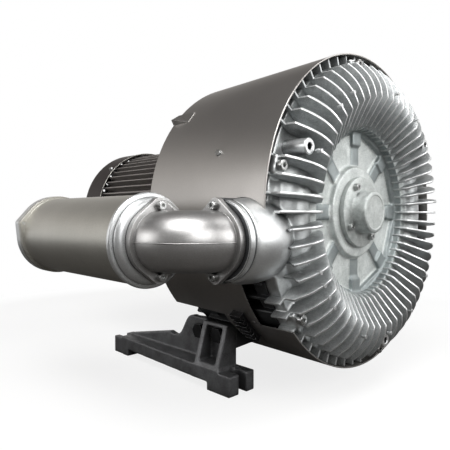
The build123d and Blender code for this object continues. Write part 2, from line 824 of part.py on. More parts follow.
shaft_front = front_bearing_start - nut_width - shaft_nose
shaft_rear = fan_end - fan_sheet
with BuildPart() as shaft:
    with BuildSketch(ray(90)):
        band(shaft_front, front_bearing_end, 0, bearing_bore)
        band(front_bearing_end, rear_hub_end, 0, impeller_seat)
        band(rear_hub_end, core_start, 0, shoulder_radius)
        band(core_start, core_end, 0, rotor_seat)
        band(core_end, rear_bearing_start, 0, bearing_bore + rear_shoulder)
        band(rear_bearing_start, shaft_rear, 0, bearing_bore)
    revolve(axis=shaft_axis)
    with Locations(*key_places):
        Box(key_width, key_length, key_height, mode=Mode.SUBTRACT)
shaft.part.label = "shaft"

nut_slot = nut_width / 2
with BuildPart() as bearing_nut:
    with BuildSketch(across(front_bearing_start)):
        Circle(nut_radius)
        Circle(bearing_bore, mode=Mode.SUBTRACT)
        with PolarLocations(nut_radius, 4):
            Rectangle(nut_slot, nut_slot, mode=Mode.SUBTRACT)
    extrude(amount=nut_width)
bearing_nut.part.label = "bearing_nut"

with BuildPart() as rotor_core:
    add(sleeve(core_start, core_end, rotor_seat, rotor_radius))
rotor_core.part.label = "rotor_core"


# ---- Ball bearings and seals
def bearing_ring(y, r1, r2):
    """One ring of a ball bearing, with its groove."""
    with BuildPart() as ring:
        with BuildSketch(ray(90)):
            band(y, y + bearing_width, r1, r2)
            with Locations((y + bearing_width / 2, bearing_pitch)):
                Circle(ball_radius + ball_gap, mode=Mode.SUBTRACT)
        revolve(axis=shaft_axis)
    return ring.part


def ball_set(y):
    """Cage of a ball bearing with its balls."""
    middle = y + bearing_width / 2
    reach = ball_radius + cage_margin
    angles = [360 * i / ball_count for i in range(ball_count)]
    with BuildPart() as cage:
        with BuildSketch(ray(90)):
            band(middle - reach, middle + reach, bearing_pitch - cage_sheet / 2,
                 bearing_pitch + cage_sheet / 2)
        revolve(axis=shaft_axis)
        for angle in angles:
            with BuildSketch(outward(angle, middle, bearing_pitch)):
                Circle(ball_radius + ball_gap / 2)
            extrude(amount=cage_sheet, both=True, mode=Mode.SUBTRACT)
        with Locations(*[(x, middle, shaft_height + z) for x, z in polar(bearing_pitch, angles)]):
            Sphere(ball_radius)
    return cage.part


with BuildPart() as front_bearing_outer_ring:
    add(bearing_ring(front_bearing_start, bearing_outer - ring_wall, bearing_outer))
front_bearing_outer_ring.part.label = "front_bearing_outer_ring"

with BuildPart() as front_bearing_inner_ring:
    add(bearing_ring(front_bearing_start, bearing_bore, bearing_bore + ring_wall))
front_bearing_inner_ring.part.label = "front_bearing_inner_ring"

with BuildPart() as front_bearing_balls:
    add(ball_set(front_bearing_start))
front_bearing_balls.part.label = "front_bearing_balls"

with BuildPart() as rear_bearing_outer_ring:
    add(bearing_ring(rear_bearing_start, bearing_outer - ring_wall, bearing_outer))
rear_bearing_outer_ring.part.label = "rear_bearing_outer_ring"

with BuildPart() as rear_bearing_inner_ring:
    add(bearing_ring(rear_bearing_start, bearing_bore, bearing_bore + ring_wall))
rear_bearing_inner_ring.part.label = "rear_bearing_inner_ring"

with BuildPart() as rear_bearing_balls:
    add(ball_set(rear_bearing_start))
rear_bearing_balls.part.label = "rear_bearing_balls"

with BuildPart() as shaft_seals:
    add(sleeve(front_bearing_end + seal_gap, front_bearing_end + seal_gap + seal_width,
               sleeve_radius + seal_gap, seal_radius))
    add(sleeve(rear_split + 1, rear_split + 1 + seal_width, shoulder_radius + seal_gap,
               rear_seal_radius))
shaft_seals.part.label = "shaft_seals"

# ---- Shroud of two rolled sheets
seam_half_gap = degrees(shroud_seam_gap / rim_radius) / 2
left_notch_depth = port_outer + shroud_port_gap


def shroud_sheet_part(start, arc):
    """Tapered sheet from an angle, running clockwise over an arc."""
    with BuildPart() as sheet:
        with BuildSketch(ray(start)):
            with BuildLine():
                Polyline(
                    (rim_y, rim_radius),
                    (shroud_end, rim_radius - shroud_taper),
                    (shroud_end, rim_radius - shroud_taper - shroud_sheet),
                    (rim_y, rim_radius - shroud_sheet),
                    close=True,
                )
            make_face()
        revolve(axis=shaft_axis, revolution_arc=arc)
    return sheet.part


def port_notch(side, y, edge_y, inner_y):
    """Opening for a port, running out to the sheet's edge and down past the seam."""
    seam_z = shaft_height - rim_radius * sin(radians(shroud_seam_angle + 1))
    with BuildPart() as notch:
        with BuildSketch(Plane(origin=(side * 2 * rim_radius, 0, 0), x_dir=(0, 1, 0),
                               z_dir=(1, 0, 0))):
            with Locations((y, port_z)):
                Circle(left_notch_depth)
            with Locations(((y + edge_y) / 2, port_z)):
                Rectangle(abs(edge_y - y), left_notch_depth)
            with Locations(((inner_y + edge_y) / 2, (port_z + seam_z) / 2)):
                Rectangle(abs(edge_y - inner_y), port_z - seam_z)
        extrude(amount=-side * (2 * rim_radius - channel_circle / 2))
    return notch.part


notch_inner = left_port_y + notch_share * port_outer
port_notches = [
    port_notch(-1, left_port_y, rim_y - 1, notch_inner),
    port_notch(1, right_port_y, shroud_end + 1, right_port_y - notch_share * port_outer),
]
seam_start = 180 + shroud_seam_angle

with BuildPart() as shroud_upper:
    add(shroud_sheet_part(seam_start, 180 + 2 * shroud_seam_angle))
    add(port_notches, mode=Mode.SUBTRACT)
    for angle in shroud_screw_angles:
        with BuildSketch(outward(angle, shroud_screw_station, shroud_seat)):
            Circle(shroud_screw / 2 + bolt_hole_gap)
        extrude(amount=shroud_gap, mode=Mode.SUBTRACT)
shroud_upper.part.label = "shroud_upper"

with BuildPart() as shroud_lower:
    add(shroud_sheet_part(-shroud_seam_angle - seam_half_gap,
                          180 - 2 * shroud_seam_angle - 2 * seam_half_gap))
    add(port_notches, mode=Mode.SUBTRACT)
    # room for the feet, out to the rear edge
    for side in (-1, 1):
        with BuildSketch(Plane.XY):
            with Locations((side * (shroud_window + rim_radius) / 2,
                            (pedestal_y - flange_depth / 2 + shroud_end + 1) / 2)):
                Rectangle(rim_radius - shroud_window, shroud_end + 1 - pedestal_y + flange_depth / 2)
        extrude(amount=shaft_height, mode=Mode.SUBTRACT)
    for angle in shroud_screw_angles:
        with BuildSketch(outward(angle, shroud_screw_station, shroud_seat)):
            Circle(shroud_screw / 2 + bolt_hole_gap)
        extrude(amount=shroud_gap, mode=Mode.SUBTRACT)
shroud_lower.part.label = "shroud_lower"


def pan_screws(planes, size, length):
    """Domed screws, one on each plane, which faces out at the seat of its head."""
    with BuildPart() as screws:
        for plane in planes:
            with BuildSketch(plane):
                Circle(size)
            extrude(amount=pan_height * size, taper=pan_taper)
            with BuildSketch(plane):
                Circle(size / 2)
            extrude(amount=-length)
    return screws.part


def shroud_clamp(middle):
    """Ribbed block that holds the two sheets together at a seam."""
    y1, y2 = rim_y + clamp_y, rim_y + clamp_y + clamp_width
    outside = shroud_radius(y1) + clamp_thickness
    pitch = clamp_arc / clamp_ribs
    groove = radians(pitch) * outside / 2
    with BuildPart() as clamp:
        with BuildSketch(ray(middle + clamp_arc / 2)):
            with BuildLine():
                Polyline((y1, shroud_radius(y1)), (y2, shroud_radius(y2)), (y2, outside),
                         (y1, outside), close=True)
            make_face()
        revolve(axis=shaft_axis, revolution_arc=clamp_arc)
        with BuildSketch(across(y1)):
            for i in range(1, clamp_ribs):
                with PolarLocations(outside, 1, start_angle=middle - clamp_arc / 2 + i * pitch):
                    Rectangle(clamp_thickness, groove)
        extrude(amount=-clamp_width, mode=Mode.SUBTRACT)
    return clamp.part


with BuildPart() as shroud_clamps:
    add([shroud_clamp(seam_start + clamp_drop), shroud_clamp(-shroud_seam_angle - clamp_drop)])
shroud_clamps.part.label = "shroud_clamps"

with BuildPart() as shroud_screws:
    add(pan_screws([outward(angle, shroud_screw_station,
                            shroud_radius(shroud_screw_station - shroud_screw))
                    for angle in shroud_screw_angles], shroud_screw, 2 * shroud_screw))
shroud_screws.part.label = "shroud_screws"

# ---- Elbows, gaskets and silencers
elbow_face = port_reach + gasket
elbow_start = elbow_face + elbow_flange


def elbow_end(port_y):
    return port_y + elbow_bend + elbow_flange


def elbow(side, port_y):
    """Cast bend from a port's flange to its silencer's."""
    end_y = elbow_end(port_y)
    bore = port_bore
    with BuildPart() as bend:
        with BuildSketch(port_face(side, elbow_start, port_y)):
            Circle(elbow_outer)
        revolve(axis=Axis((side * elbow_start, port_y + elbow_bend, port_z), (0, 0, side)),
                revolution_arc=90)
        with BuildSketch(port_face(side, elbow_face, port_y)):
            ear_flange(elbow_outer + casing_wall, ear_offset, ear_radius)
        extrude(amount=elbow_flange)
        with BuildSketch(pipe_face(side, end_y)):
            ear_flange(elbow_outer + casing_wall, ear_offset, ear_radius)
        extrude(amount=elbow_flange)
        with BuildSketch(port_face(side, elbow_start, port_y)):
            Circle(bore)
        revolve(axis=Axis((side * elbow_start, port_y + elbow_bend, port_z), (0, 0, side)),
                revolution_arc=90, mode=Mode.SUBTRACT)
        with BuildSketch(port_face(side, elbow_face, port_y)):
            Circle(bore)
            with Locations((0, ear_offset), (0, -ear_offset)):
                Circle(port_screw / 2 + bolt_hole_gap)
        extrude(amount=elbow_flange, mode=Mode.SUBTRACT)
        with BuildSketch(pipe_face(side, end_y)):
            Circle(bore)
            with Locations((0, ear_offset), (0, -ear_offset)):
                Circle(port_screw / 2 + bolt_hole_gap)
        extrude(amount=elbow_flange, mode=Mode.SUBTRACT)
    return bend.part


with BuildPart() as left_elbow:
    add(elbow(-1, left_port_y))
left_elbow.part.label = "left_elbow"

with BuildPart() as right_elbow:
    add(elbow(1, right_port_y))
right_elbow.part.label = "right_elbow"


def ring_gasket(plane):
    with BuildPart() as ring:
        with BuildSketch(plane):
            ear_flange(elbow_outer + casing_wall, ear_offset, ear_radius)
            Circle(port_bore, mode=Mode.SUBTRACT)
            with Locations((0, ear_offset), (0, -ear_offset)):
                Circle(port_screw / 2 + bolt_hole_gap, mode=Mode.SUBTRACT)
        extrude(amount=gasket)
    return ring.part


sides = ((-1, left_port_y), (1, right_port_y))
with BuildPart() as port_gaskets:
    for side, port_y in sides:
        add(ring_gasket(port_face(side, port_reach, port_y)))
        add(ring_gasket(pipe_face(side, elbow_end(port_y) + gasket)))
port_gaskets.part.label = "port_gaskets"

ear_places = [(0, ear_offset), (0, -ear_offset)]
with BuildPart() as elbow_screws:
    for side, port_y in sides:
        add(cap_screws(port_face(side, elbow_start, port_y), ear_places, port_screw,
                       elbow_flange + gasket + port_thread))
        add(cap_screws(pipe_face(side, elbow_end(port_y) - elbow_flange), ear_places, port_screw,
                       elbow_flange + gasket + collar_depth))
elbow_screws.part.label = "elbow_screws"


def collar(side, y):
    """Domed casting that closes the front of a silencer, its face at y."""
    inner = silencer_radius - silencer_sheet
    shoulder_y = y + collar_depth
    with BuildPart() as casting:
        with BuildSketch(pipe_section(side)):
            with BuildLine():
                Line((y, 0), (y, collar_face_radius))
                RadiusArc((y, collar_face_radius), (shoulder_y, silencer_radius), -collar_depth)
                Polyline((shoulder_y, silencer_radius), (shoulder_y, inner),
                         (shoulder_y + spigot_depth, inner), (shoulder_y + spigot_depth, 0), (y, 0))
            make_face()
            band(shoulder_y, shoulder_y + spigot_depth, 0, inner - collar_wall, Mode.SUBTRACT)
            band(y, shoulder_y, 0, port_bore, Mode.SUBTRACT)
            # seat of the perforated tube
            band(shoulder_y - collar_wall / 2, shoulder_y, 0, perforated_radius, Mode.SUBTRACT)
        revolve(axis=Axis((side * silencer_x, 0, port_z), (0, 1, 0)))
        with BuildSketch(pipe_face(side, y)):
            with Locations(*ear_places):
                Circle(port_screw / 2)
        extrude(amount=-collar_depth, mode=Mode.SUBTRACT)
    return casting.part


def end_outline():
    """Round flange with two small ears, in a sketch across a silencer."""
    Circle(end_ring_radius)
    with PolarLocations(end_ear_offset, 2, start_angle=180 - end_ear_tilt):
        Circle(end_ear_radius)
    make_hull()


def pipe_ring(side, y1, y2, r1, r2):
    """Plain ring round a silencer's axis."""
    with BuildPart() as ring:
        with BuildSketch(pipe_face(side, y1)):
            Circle(r2)
            Circle(r1, mode=Mode.SUBTRACT)
        extrude(amount=y1 - y2)
    return ring.part


def silencer_y(port_y):
    """Face of a silencer's collar."""
    return elbow_end(port_y) + gasket


def tube_start(port_y):
    return silencer_y(port_y) + collar_depth


def tube_end(port_y):
    return tube_start(port_y) + silencer_length


def silencer_body(side, port_y):
    """Sheet tube with the welded ring that takes the end cap."""
    start, end = tube_start(port_y), tube_end(port_y)
    with BuildPart() as tube:
        with BuildSketch(pipe_face(side, start)):
            Circle(silencer_radius)
        extrude(amount=start - end)
        with BuildSketch(pipe_face(side, end)):
            end_outline()
        extrude(amount=end_ring_depth)
        with BuildSketch(pipe_face(side, start)):
            Circle(silencer_radius - silencer_sheet)
        extrude(amount=start - end, mode=Mode.SUBTRACT)
        with BuildSketch(pipe_face(side, end)):
            with PolarLocations(end_ear_offset, 2, start_angle=180 - end_ear_tilt):
                Circle(end_bolt / 2 + bolt_hole_gap / 2)
        extrude(amount=end_ring_depth, mode=Mode.SUBTRACT)
    return tube.part


def end_cap(side, port_y):
    """Cast cap with the pipe thread in its middle."""
    y = tube_end(port_y)
    inner = silencer_radius - silencer_sheet
    with BuildPart() as cap:
        with BuildSketch(pipe_face(side, y)):
            end_outline()
        extrude(amount=-end_cap_depth)
        with BuildSketch(pipe_face(side, y)):
            Circle(inner)
            Circle(inner - collar_wall, mode=Mode.SUBTRACT)
        extrude(amount=spigot_depth)
        with BuildSketch(pipe_face(side, y)):
            Circle(outlet_bore)
            with PolarLocations(end_ear_offset, 2, start_angle=180 - end_ear_tilt):
                Circle(end_bolt / 2 + bolt_hole_gap / 2)
        extrude(amount=-end_cap_depth, mode=Mode.SUBTRACT)
    return cap.part


def perforated_tube(side, port_y):
    """Inner tube from the collar's seat to the end cap, with rows of holes."""
    start, end = tube_start(port_y) - collar_wall / 2, tube_end(port_y)
    rows, holes = 8, 8
    pitch = (end - start) / (rows + 1)
    with BuildPart() as tube:
        add(pipe_ring(side, start, end, perforated_radius - perforated_sheet, perforated_radius))
        for turn in range(holes // 2):
            angle = radians(180 * turn / (holes // 2))
            with BuildSketch(Plane(origin=(side * silencer_x, 0, port_z), x_dir=(0, 1, 0),
                                   z_dir=(cos(angle), 0, sin(angle)))):
                with Locations(*[(start + pitch * (row + 1), 0) for row in range(rows)]):
                    Circle(pitch / 5)
            extrude(amount=2 * perforated_radius, both=True, mode=Mode.SUBTRACT)
    return tube.part


def lining(side, port_y):
    """Sound-absorbing sleeve between the perforated tube and the body."""
    return pipe_ring(side, tube_start(port_y) + spigot_depth, tube_end(port_y) - spigot_depth,
                     perforated_radius + lining_gap / 2,
                     silencer_radius - silencer_sheet - lining_gap / 2)


with BuildPart() as left_silencer_collar:
    add(collar(-1, silencer_y(left_port_y)))
left_silencer_collar.part.label = "left_silencer_collar"

with BuildPart() as right_silencer_collar:
    add(collar(1, silencer_y(right_port_y)))
right_silencer_collar.part.label = "right_silencer_collar"

with BuildPart() as left_silencer_body:
    add(silencer_body(-1, left_port_y))
left_silencer_body.part.label = "left_silencer_body"

with BuildPart() as right_silencer_body:
    add(silencer_body(1, right_port_y))
right_silencer_body.part.label = "right_silencer_body"

with BuildPart() as left_silencer_end_cap:
    add(end_cap(-1, left_port_y))
left_silencer_end_cap.part.label = "left_silencer_end_cap"

with BuildPart() as right_silencer_end_cap:
    add(end_cap(1, right_port_y))
right_silencer_end_cap.part.label = "right_silencer_end_cap"

with BuildPart() as left_perforated_tube:
    add(perforated_tube(-1, left_port_y))
left_perforated_tube.part.label = "left_perforated_tube"

with BuildPart() as right_perforated_tube:
    add(perforated_tube(1, right_port_y))
right_perforated_tube.part.label = "right_perforated_tube"

with BuildPart() as left_silencer_lining:
    add(lining(-1, left_port_y))
left_silencer_lining.part.label = "left_silencer_lining"

with BuildPart() as right_silencer_lining:
    add(lining(1, right_port_y))
right_silencer_lining.part.label = "right_silencer_lining"

with BuildPart() as end_cap_bolts:
    for side, port_y in sides:
        y = tube_end(port_y) + end_cap_depth
        plane = Plane(origin=(side * silencer_x, y, port_z), x_dir=(-1, 0, 0), z_dir=(0, 1, 0))
        add(hex_bolts(plane, polar(end_ear_offset, [end_ear_tilt, 180 + end_ear_tilt]), end_bolt,
                      end_cap_depth + end_ring_depth))
end_cap_bolts.part.label = "end_cap_bolts"

# ---- Motor
motor_fin_start = motor_face + motor_flange_depth + motor_bolt
box_y = motor_face + box_setback
box_face = motor_fin_radius + box_pad     # side of the motor's pad for the terminal box
box_plane = Plane(origin=(box_face, box_y, shaft_height), x_dir=(0, 1, 0), z_dir=(1, 0, 0))

with BuildPart() as motor_frame:
    with BuildSketch(ray(90)):
        band(motor_face, frame_end, motor_bore, motor_radius)
        band(motor_face, motor_face + motor_front_wall, shoulder_radius + running_gap, motor_radius)
        band(motor_face, motor_face + motor_flange_depth, motor_bore, motor_fin_radius)
    revolve(axis=shaft_axis)
    with BuildSketch(across(motor_fin_start)):
        with PolarLocations((motor_radius - 1 + motor_fin_radius) / 2, motor_fin_count):
            Rectangle(motor_fin_radius - motor_radius + 1, motor_fin_thickness)
    extrude(amount=motor_fin_start - frame_end)
    with BuildSketch(box_plane):
        Rectangle(box_length, box_height)
    extrude(amount=motor_bore + 5 - box_face)
    with BuildSketch(ray(90)):
        band(motor_face + motor_front_wall, frame_end, 0, motor_bore)
    revolve(axis=shaft_axis, mode=Mode.SUBTRACT)
    with BuildSketch(box_plane):
        Circle(gland_radius)
    extrude(amount=motor_bore - box_face - motor_radius / 4, mode=Mode.SUBTRACT)
    with BuildSketch(behind(motor_face + motor_flange_depth)):
        with Locations(*motor_bolt_places):
            Circle(motor_bolt / 2 + bolt_hole_gap)
    extrude(amount=-motor_flange_depth, mode=Mode.SUBTRACT)
motor_frame.part.label = "motor_frame"

with BuildPart() as motor_flange_bolts:
    add(hex_bolts(behind(motor_face + motor_flange_depth), motor_bolt_places, motor_bolt,
                  2 * motor_flange_depth))
motor_flange_bolts.part.label = "motor_flange_bolts"

slot_radius = rotor_radius + air_gap + slot_lip      # inner end of the winding slots
with BuildPart() as stator_core:
    with BuildSketch(across(core_start)):
        Circle(motor_bore)
        Circle(rotor_radius + air_gap, mode=Mode.SUBTRACT)
        with PolarLocations(slot_radius + slot_depth / 2, slot_count):
            Rectangle(slot_depth, slot_width, mode=Mode.SUBTRACT)
        with PolarLocations(slot_radius, slot_count):
            Rectangle(2.5 * slot_lip, slot_mouth, mode=Mode.SUBTRACT)
    extrude(amount=core_start - core_end)
stator_core.part.label = "stator_core"

with BuildPart() as stator_windings:
    with BuildSketch(across(core_start - winding_clear)):
        with PolarLocations(slot_radius + slot_depth / 2, slot_count):
            Rectangle(slot_depth - 2 * winding_gap, slot_width - 2 * winding_gap)
    extrude(amount=core_start - core_end - 2 * winding_clear)
    with BuildSketch(ray(90)):
        for y in (core_start - winding_clear, core_end + winding_clear + winding_head):
            band(y - winding_head, y, slot_radius, slot_radius + slot_depth)
    revolve(axis=shaft_axis)
stator_windings.part.label = "stator_windings"

shield_radius = motor_fin_radius - 2
cowl_inside = cowl_radius - cowl_sheet
cowl_screw_y = frame_end + shield_thickness / 2
shield_angles = [45 + 360 * i / shield_bolt_count for i in range(shield_bolt_count)]
shield_bolt_circle = (motor_bore + motor_radius) / 2
with BuildPart() as motor_rear_shield:
    with BuildSketch(ray(90)):
        band(rear_bearing_start, shield_end, bearing_bore + running_gap, bearing_outer + casing_wall)
        band(frame_end, shield_end, bearing_outer, motor_radius)
        band(rear_bearing_start, frame_end, motor_bore - casing_wall, motor_bore)
        band(rear_bearing_start, rear_bearing_end, 0, bearing_outer, Mode.SUBTRACT)
    revolve(axis=shaft_axis)
    # arms that carry the cowl
    cowl_seat = sqrt(cowl_inside ** 2 - cowl_screw ** 2)
    with BuildSketch(across(frame_end)):
        for angle in shield_angles:
            with PolarLocations((motor_radius - 1 + cowl_seat) / 2, 1, start_angle=angle):
                Rectangle(cowl_seat - motor_radius + 1, 2 * cowl_screw)
    extrude(amount=-shield_thickness)
    for angle in shield_angles:
        with BuildSketch(outward(angle, cowl_screw_y, cowl_seat)):
            Circle(cowl_screw / 2)
        extrude(amount=-2 * cowl_screw, mode=Mode.SUBTRACT)
    with BuildSketch(behind(shield_end)):
        with Locations(*polar(shield_bolt_circle, [a + 45 for a in shield_angles])):
            Circle(shield_bolt / 2)
    extrude(amount=-shield_thickness, mode=Mode.SUBTRACT)
motor_rear_shield.part.label = "motor_rear_shield"

with BuildPart() as shield_bolts:
    add(hex_bolts(behind(shield_end), polar(shield_bolt_circle, [a + 45 for a in shield_angles]),
                  shield_bolt, shield_thickness))
shield_bolts.part.label = "shield_bolts"

with BuildPart() as cooling_fan:
    with BuildSketch(ray(90)):
        band(fan_start, fan_start + fan_sheet, bearing_bore, fan_radius)
        band(fan_start, fan_end - 2 * fan_sheet, bearing_bore, fan_hub_radius)
    revolve(axis=shaft_axis)
    with BuildSketch(across(fan_start)):
        with PolarLocations((fan_hub_radius - 1 + fan_radius) / 2, fan_blade_count):
            Rectangle(fan_radius - fan_hub_radius + 1, fan_sheet)
    extrude(amount=-fan_width)
cooling_fan.part.label = "cooling_fan"

grille_slot_length = cowl_radius - grille_inner - 4 * cowl_sheet
with BuildPart() as fan_cowl:
    with BuildSketch(ray(90)):
        band(frame_end - cowl_lap, cowl_end, cowl_inside, cowl_radius)
        band(cowl_end - cowl_sheet, cowl_end, 0, cowl_radius)
    revolve(axis=shaft_axis)
    rear_edge = fan_cowl.edges().filter_by(GeomType.CIRCLE).group_by(Axis.Y)[-1].sort_by(
        lambda edge: edge.radius)[-1]
    fillet(rear_edge, radius=cowl_sheet * 0.9)
    with BuildSketch(behind(cowl_end)):
        with PolarLocations(grille_inner + grille_slot_length / 2, grille_slots):
            SlotOverall(grille_slot_length, grille_slot_width)
    extrude(amount=-cowl_sheet, mode=Mode.SUBTRACT)
    for angle in shield_angles:
        with BuildSketch(outward(angle, cowl_screw_y, cowl_seat)):
            Circle(cowl_screw / 2 + bolt_hole_gap)
        extrude(amount=2 * cowl_sheet, mode=Mode.SUBTRACT)
fan_cowl.part.label = "fan_cowl"

with BuildPart() as cowl_screws:
    add(pan_screws([outward(angle, cowl_screw_y, cowl_radius) for angle in shield_angles],
                   cowl_screw, 2 * cowl_screw))
cowl_screws.part.label = "cowl_screws"

# ---- Terminal box
lid_y = box_length / 2 - 2 * lid_screw
lid_z = box_height / 2 - 2 * lid_screw
lid_places = [(y, z) for y in (-lid_y, lid_y) for z in (-lid_z, lid_z)]
with BuildPart() as terminal_box:
    with BuildSketch(box_plane):
        Rectangle(box_length, box_height)
    extrude(amount=box_depth)
    fillet(terminal_box.edges().filter_by(Axis.X), radius=box_wall)
    with BuildSketch(box_plane.offset(box_depth)):
        Rectangle(box_length - 2 * box_wall, box_height - 2 * box_wall)
    extrude(amount=box_wall - box_depth, mode=Mode.SUBTRACT)
    with BuildSketch(box_plane.offset(box_wall)):
        with Locations(*lid_places):
            Rectangle(3 * lid_screw, 3 * lid_screw)
    extrude(amount=box_depth - box_wall)
    with BuildSketch(box_plane):
        Circle(gland_radius)
    extrude(amount=box_wall, mode=Mode.SUBTRACT)
    with BuildSketch(box_plane.offset(box_depth)):
        with Locations(*lid_places):
            Circle(lid_screw / 2)
    extrude(amount=-3 * lid_screw, mode=Mode.SUBTRACT)
    gland_plane = Plane(origin=(box_face + box_depth / 2, box_y, shaft_height - box_height / 2),
                        x_dir=(0, 1, 0), z_dir=(0, 0, -1))
    with BuildSketch(gland_plane):
        Circle(gland_thread)
    extrude(amount=-box_wall, mode=Mode.SUBTRACT)
terminal_box.part.label = "terminal_box"

with BuildPart() as terminal_box_lid:
    with BuildSketch(box_plane.offset(box_depth)):
        Rectangle(box_length, box_height)
    extrude(amount=lid_thickness)
    fillet(terminal_box_lid.edges().filter_by(Axis.X), radius=box_wall)
    fillet(terminal_box_lid.faces().sort_by(Axis.X).last.edges(), radius=lid_thickness / 3)
    with BuildSketch(box_plane.offset(box_depth + lid_thickness)):
        with Locations(*lid_places):
            Circle(lid_screw / 2 + bolt_hole_gap / 2)
    extrude(amount=-lid_thickness, mode=Mode.SUBTRACT)
terminal_box_lid.part.label = "terminal_box_lid"

with BuildPart() as lid_screws:
    add(cap_screws(box_plane.offset(box_depth + lid_thickness), lid_places, lid_screw,
                   lid_thickness + 2 * lid_screw))
lid_screws.part.label = "lid_screws"

with BuildPart() as terminal_board:
    with BuildSketch(box_plane.offset(box_wall)):
        with Locations((0, gland_radius + board_thickness)):
            Rectangle(box_length / 2, 2 * board_thickness)
    extrude(amount=board_thickness)
    with BuildSketch(box_plane.offset(box_wall + board_thickness)):
        with Locations((0, gland_radius + board_thickness)):
            with GridLocations(box_length / 6, board_thickness, 3, 2):
                Circle(stud_radius)
    extrude(amount=stud_length)
terminal_board.part.label = "terminal_board"

with BuildPart() as cable_gland:
    with BuildSketch(gland_plane):
        RegularPolygon(gland_radius, 6)
    extrude(amount=gland_length / 3)
    with BuildSketch(gland_plane.offset(gland_length / 3)):
        Circle(gland_cap)
    extrude(amount=gland_length * 2 / 3, taper=8)
    with BuildSketch(gland_plane):
        Circle(gland_thread)
    extrude(amount=-2 * box_wall)
    with BuildSketch(gland_plane.offset(gland_length)):
        Circle(gland_bore)
    extrude(amount=-gland_length - 2 * box_wall, mode=Mode.SUBTRACT)
cable_gland.part.label = "cable_gland"

# ---- Feet
right_side = Plane(origin=(foot_inner, 0, 0), x_dir=(0, 1, 0), z_dir=(1, 0, 0))
with BuildPart() as right_foot:
    # pedestal with the bolt's pocket in its outer face
    with BuildSketch(Plane.XZ.offset(-pedestal_y)):
        with BuildLine():
            Polyline((foot_inner, foot_arch), (foot_inner, pedestal_top),
                     (foot_inner + pedestal_top_width, pedestal_top),
                     (foot_inner + foot_width, foot_pad_height),
                     (foot_inner + foot_width, foot_arch), close=True)
        make_face()
    extrude(amount=-pedestal_length)
    with BuildSketch(right_side.offset(foot_web)):
        with Locations((front_foot_bolt_y, pedestal_top - pedestal_bar - pedestal_pocket / 2)):
            Rectangle(pedestal_length - 2 * pedestal_rib, pedestal_pocket)
    extrude(amount=foot_width, mode=Mode.SUBTRACT)
    with BuildSketch(right_side):
        # beam
        with Locations(((foot_y + foot_end) / 2, (foot_arch + foot_beam_top) / 2)):
            Rectangle(foot_length - foot_pad_length, foot_beam_top - foot_arch)
    extrude(amount=foot_width)
    with BuildSketch(right_side.offset(-foot_pad_inset)):
        # pads
        with Locations((foot_y + foot_pad_length / 2, foot_pad_height / 2),
                       (foot_end - foot_pad_length / 2, foot_pad_height / 2)):
            Rectangle(foot_pad_length, foot_pad_height)
    extrude(amount=foot_width + foot_pad_inset)
    with BuildSketch(right_side):
        # upright web behind the pedestal, falling to the rear pad
        edge = [(ear_end + back, pedestal_top - down) for back, down in foot_web_curve]
        tail = (ear_end + foot_web_tail[0], pedestal_top - foot_web_tail[1])
        with BuildLine():
            Spline(*edge)
            Polyline(edge[-1], tail, (tail[0], foot_arch), (pedestal_y, foot_arch),
                     (pedestal_y, pedestal_top), edge[0])
        make_face()
    extrude(amount=foot_web)
    # the outer side runs inwards behind the pedestal
    foot_outer = foot_inner + foot_width
    with BuildSketch(Plane.XY):
        with BuildLine():
            Polyline((foot_outer, pedestal_end), (foot_outer - foot_taper, foot_end),
                     (foot_outer - foot_taper, foot_end + 1), (foot_outer + 1, foot_end + 1),
                     (foot_outer + 1, pedestal_end), close=True)
        make_face()
    extrude(amount=foot_beam_top, mode=Mode.SUBTRACT)
    # open slots at both ends
    slot_x = foot_inner + foot_slot_inset
    with BuildSketch(Plane.XY):
        for end, step in ((foot_y, foot_slot_depth), (foot_end, -foot_slot_depth)):
            with Locations((slot_x, end + step)):
                Circle(foot_slot_width / 2)
            with Locations((slot_x, end)):
                Rectangle(foot_slot_width, 2 * foot_slot_depth)
    extrude(amount=foot_beam_top, mode=Mode.SUBTRACT)
    with BuildSketch(right_side):
        with Locations((front_foot_bolt_y, foot_bolt_height), (rear_foot_bolt_y, foot_bolt_height)):
            Circle(foot_bolt / 2 + bolt_hole_gap)
    extrude(amount=foot_width, mode=Mode.SUBTRACT)
right_foot.part.label = "right_foot"

with BuildPart() as left_foot:
    mirror(right_foot.part, about=Plane.YZ)
left_foot.part.label = "left_foot"

with BuildPart() as foot_bolts:
    for side in (-1, 1):
        add(hex_bolts(foot_face(side, foot_inner + foot_web),
                      [(front_foot_bolt_y, side * foot_bolt_height),
                       (rear_foot_bolt_y, side * foot_bolt_height)],
                      foot_bolt, foot_web + foot_bolt_grip))
foot_bolts.part.label = "foot_bolts"

# ---- Screws of the casing
with BuildPart() as cover_bolts:
    add(cap_screws(across(front_split - lug_front_reach), polar(lug_bolt_circle, lug_angles),
                   cover_bolt, lug_front_reach + cover_bolt_grip))
cover_bolts.part.label = "cover_bolts"

with BuildPart() as rear_cover_bolts:
    add(hex_bolts(behind(rear_split + flange_depth),
                  [(-x, z) for x, z in polar(lug_bolt_circle, rear_lug_angles)],
                  cover_bolt, flange_depth + cover_bolt_grip))
rear_cover_bolts.part.label = "rear_cover_bolts"

with BuildPart() as bearing_cap_screws:
    add(cap_screws(across(cap_face), cap_places, cap_screw, cap_flange + hub_pad_reach / 2))
bearing_cap_screws.part.label = "bearing_cap_screws"

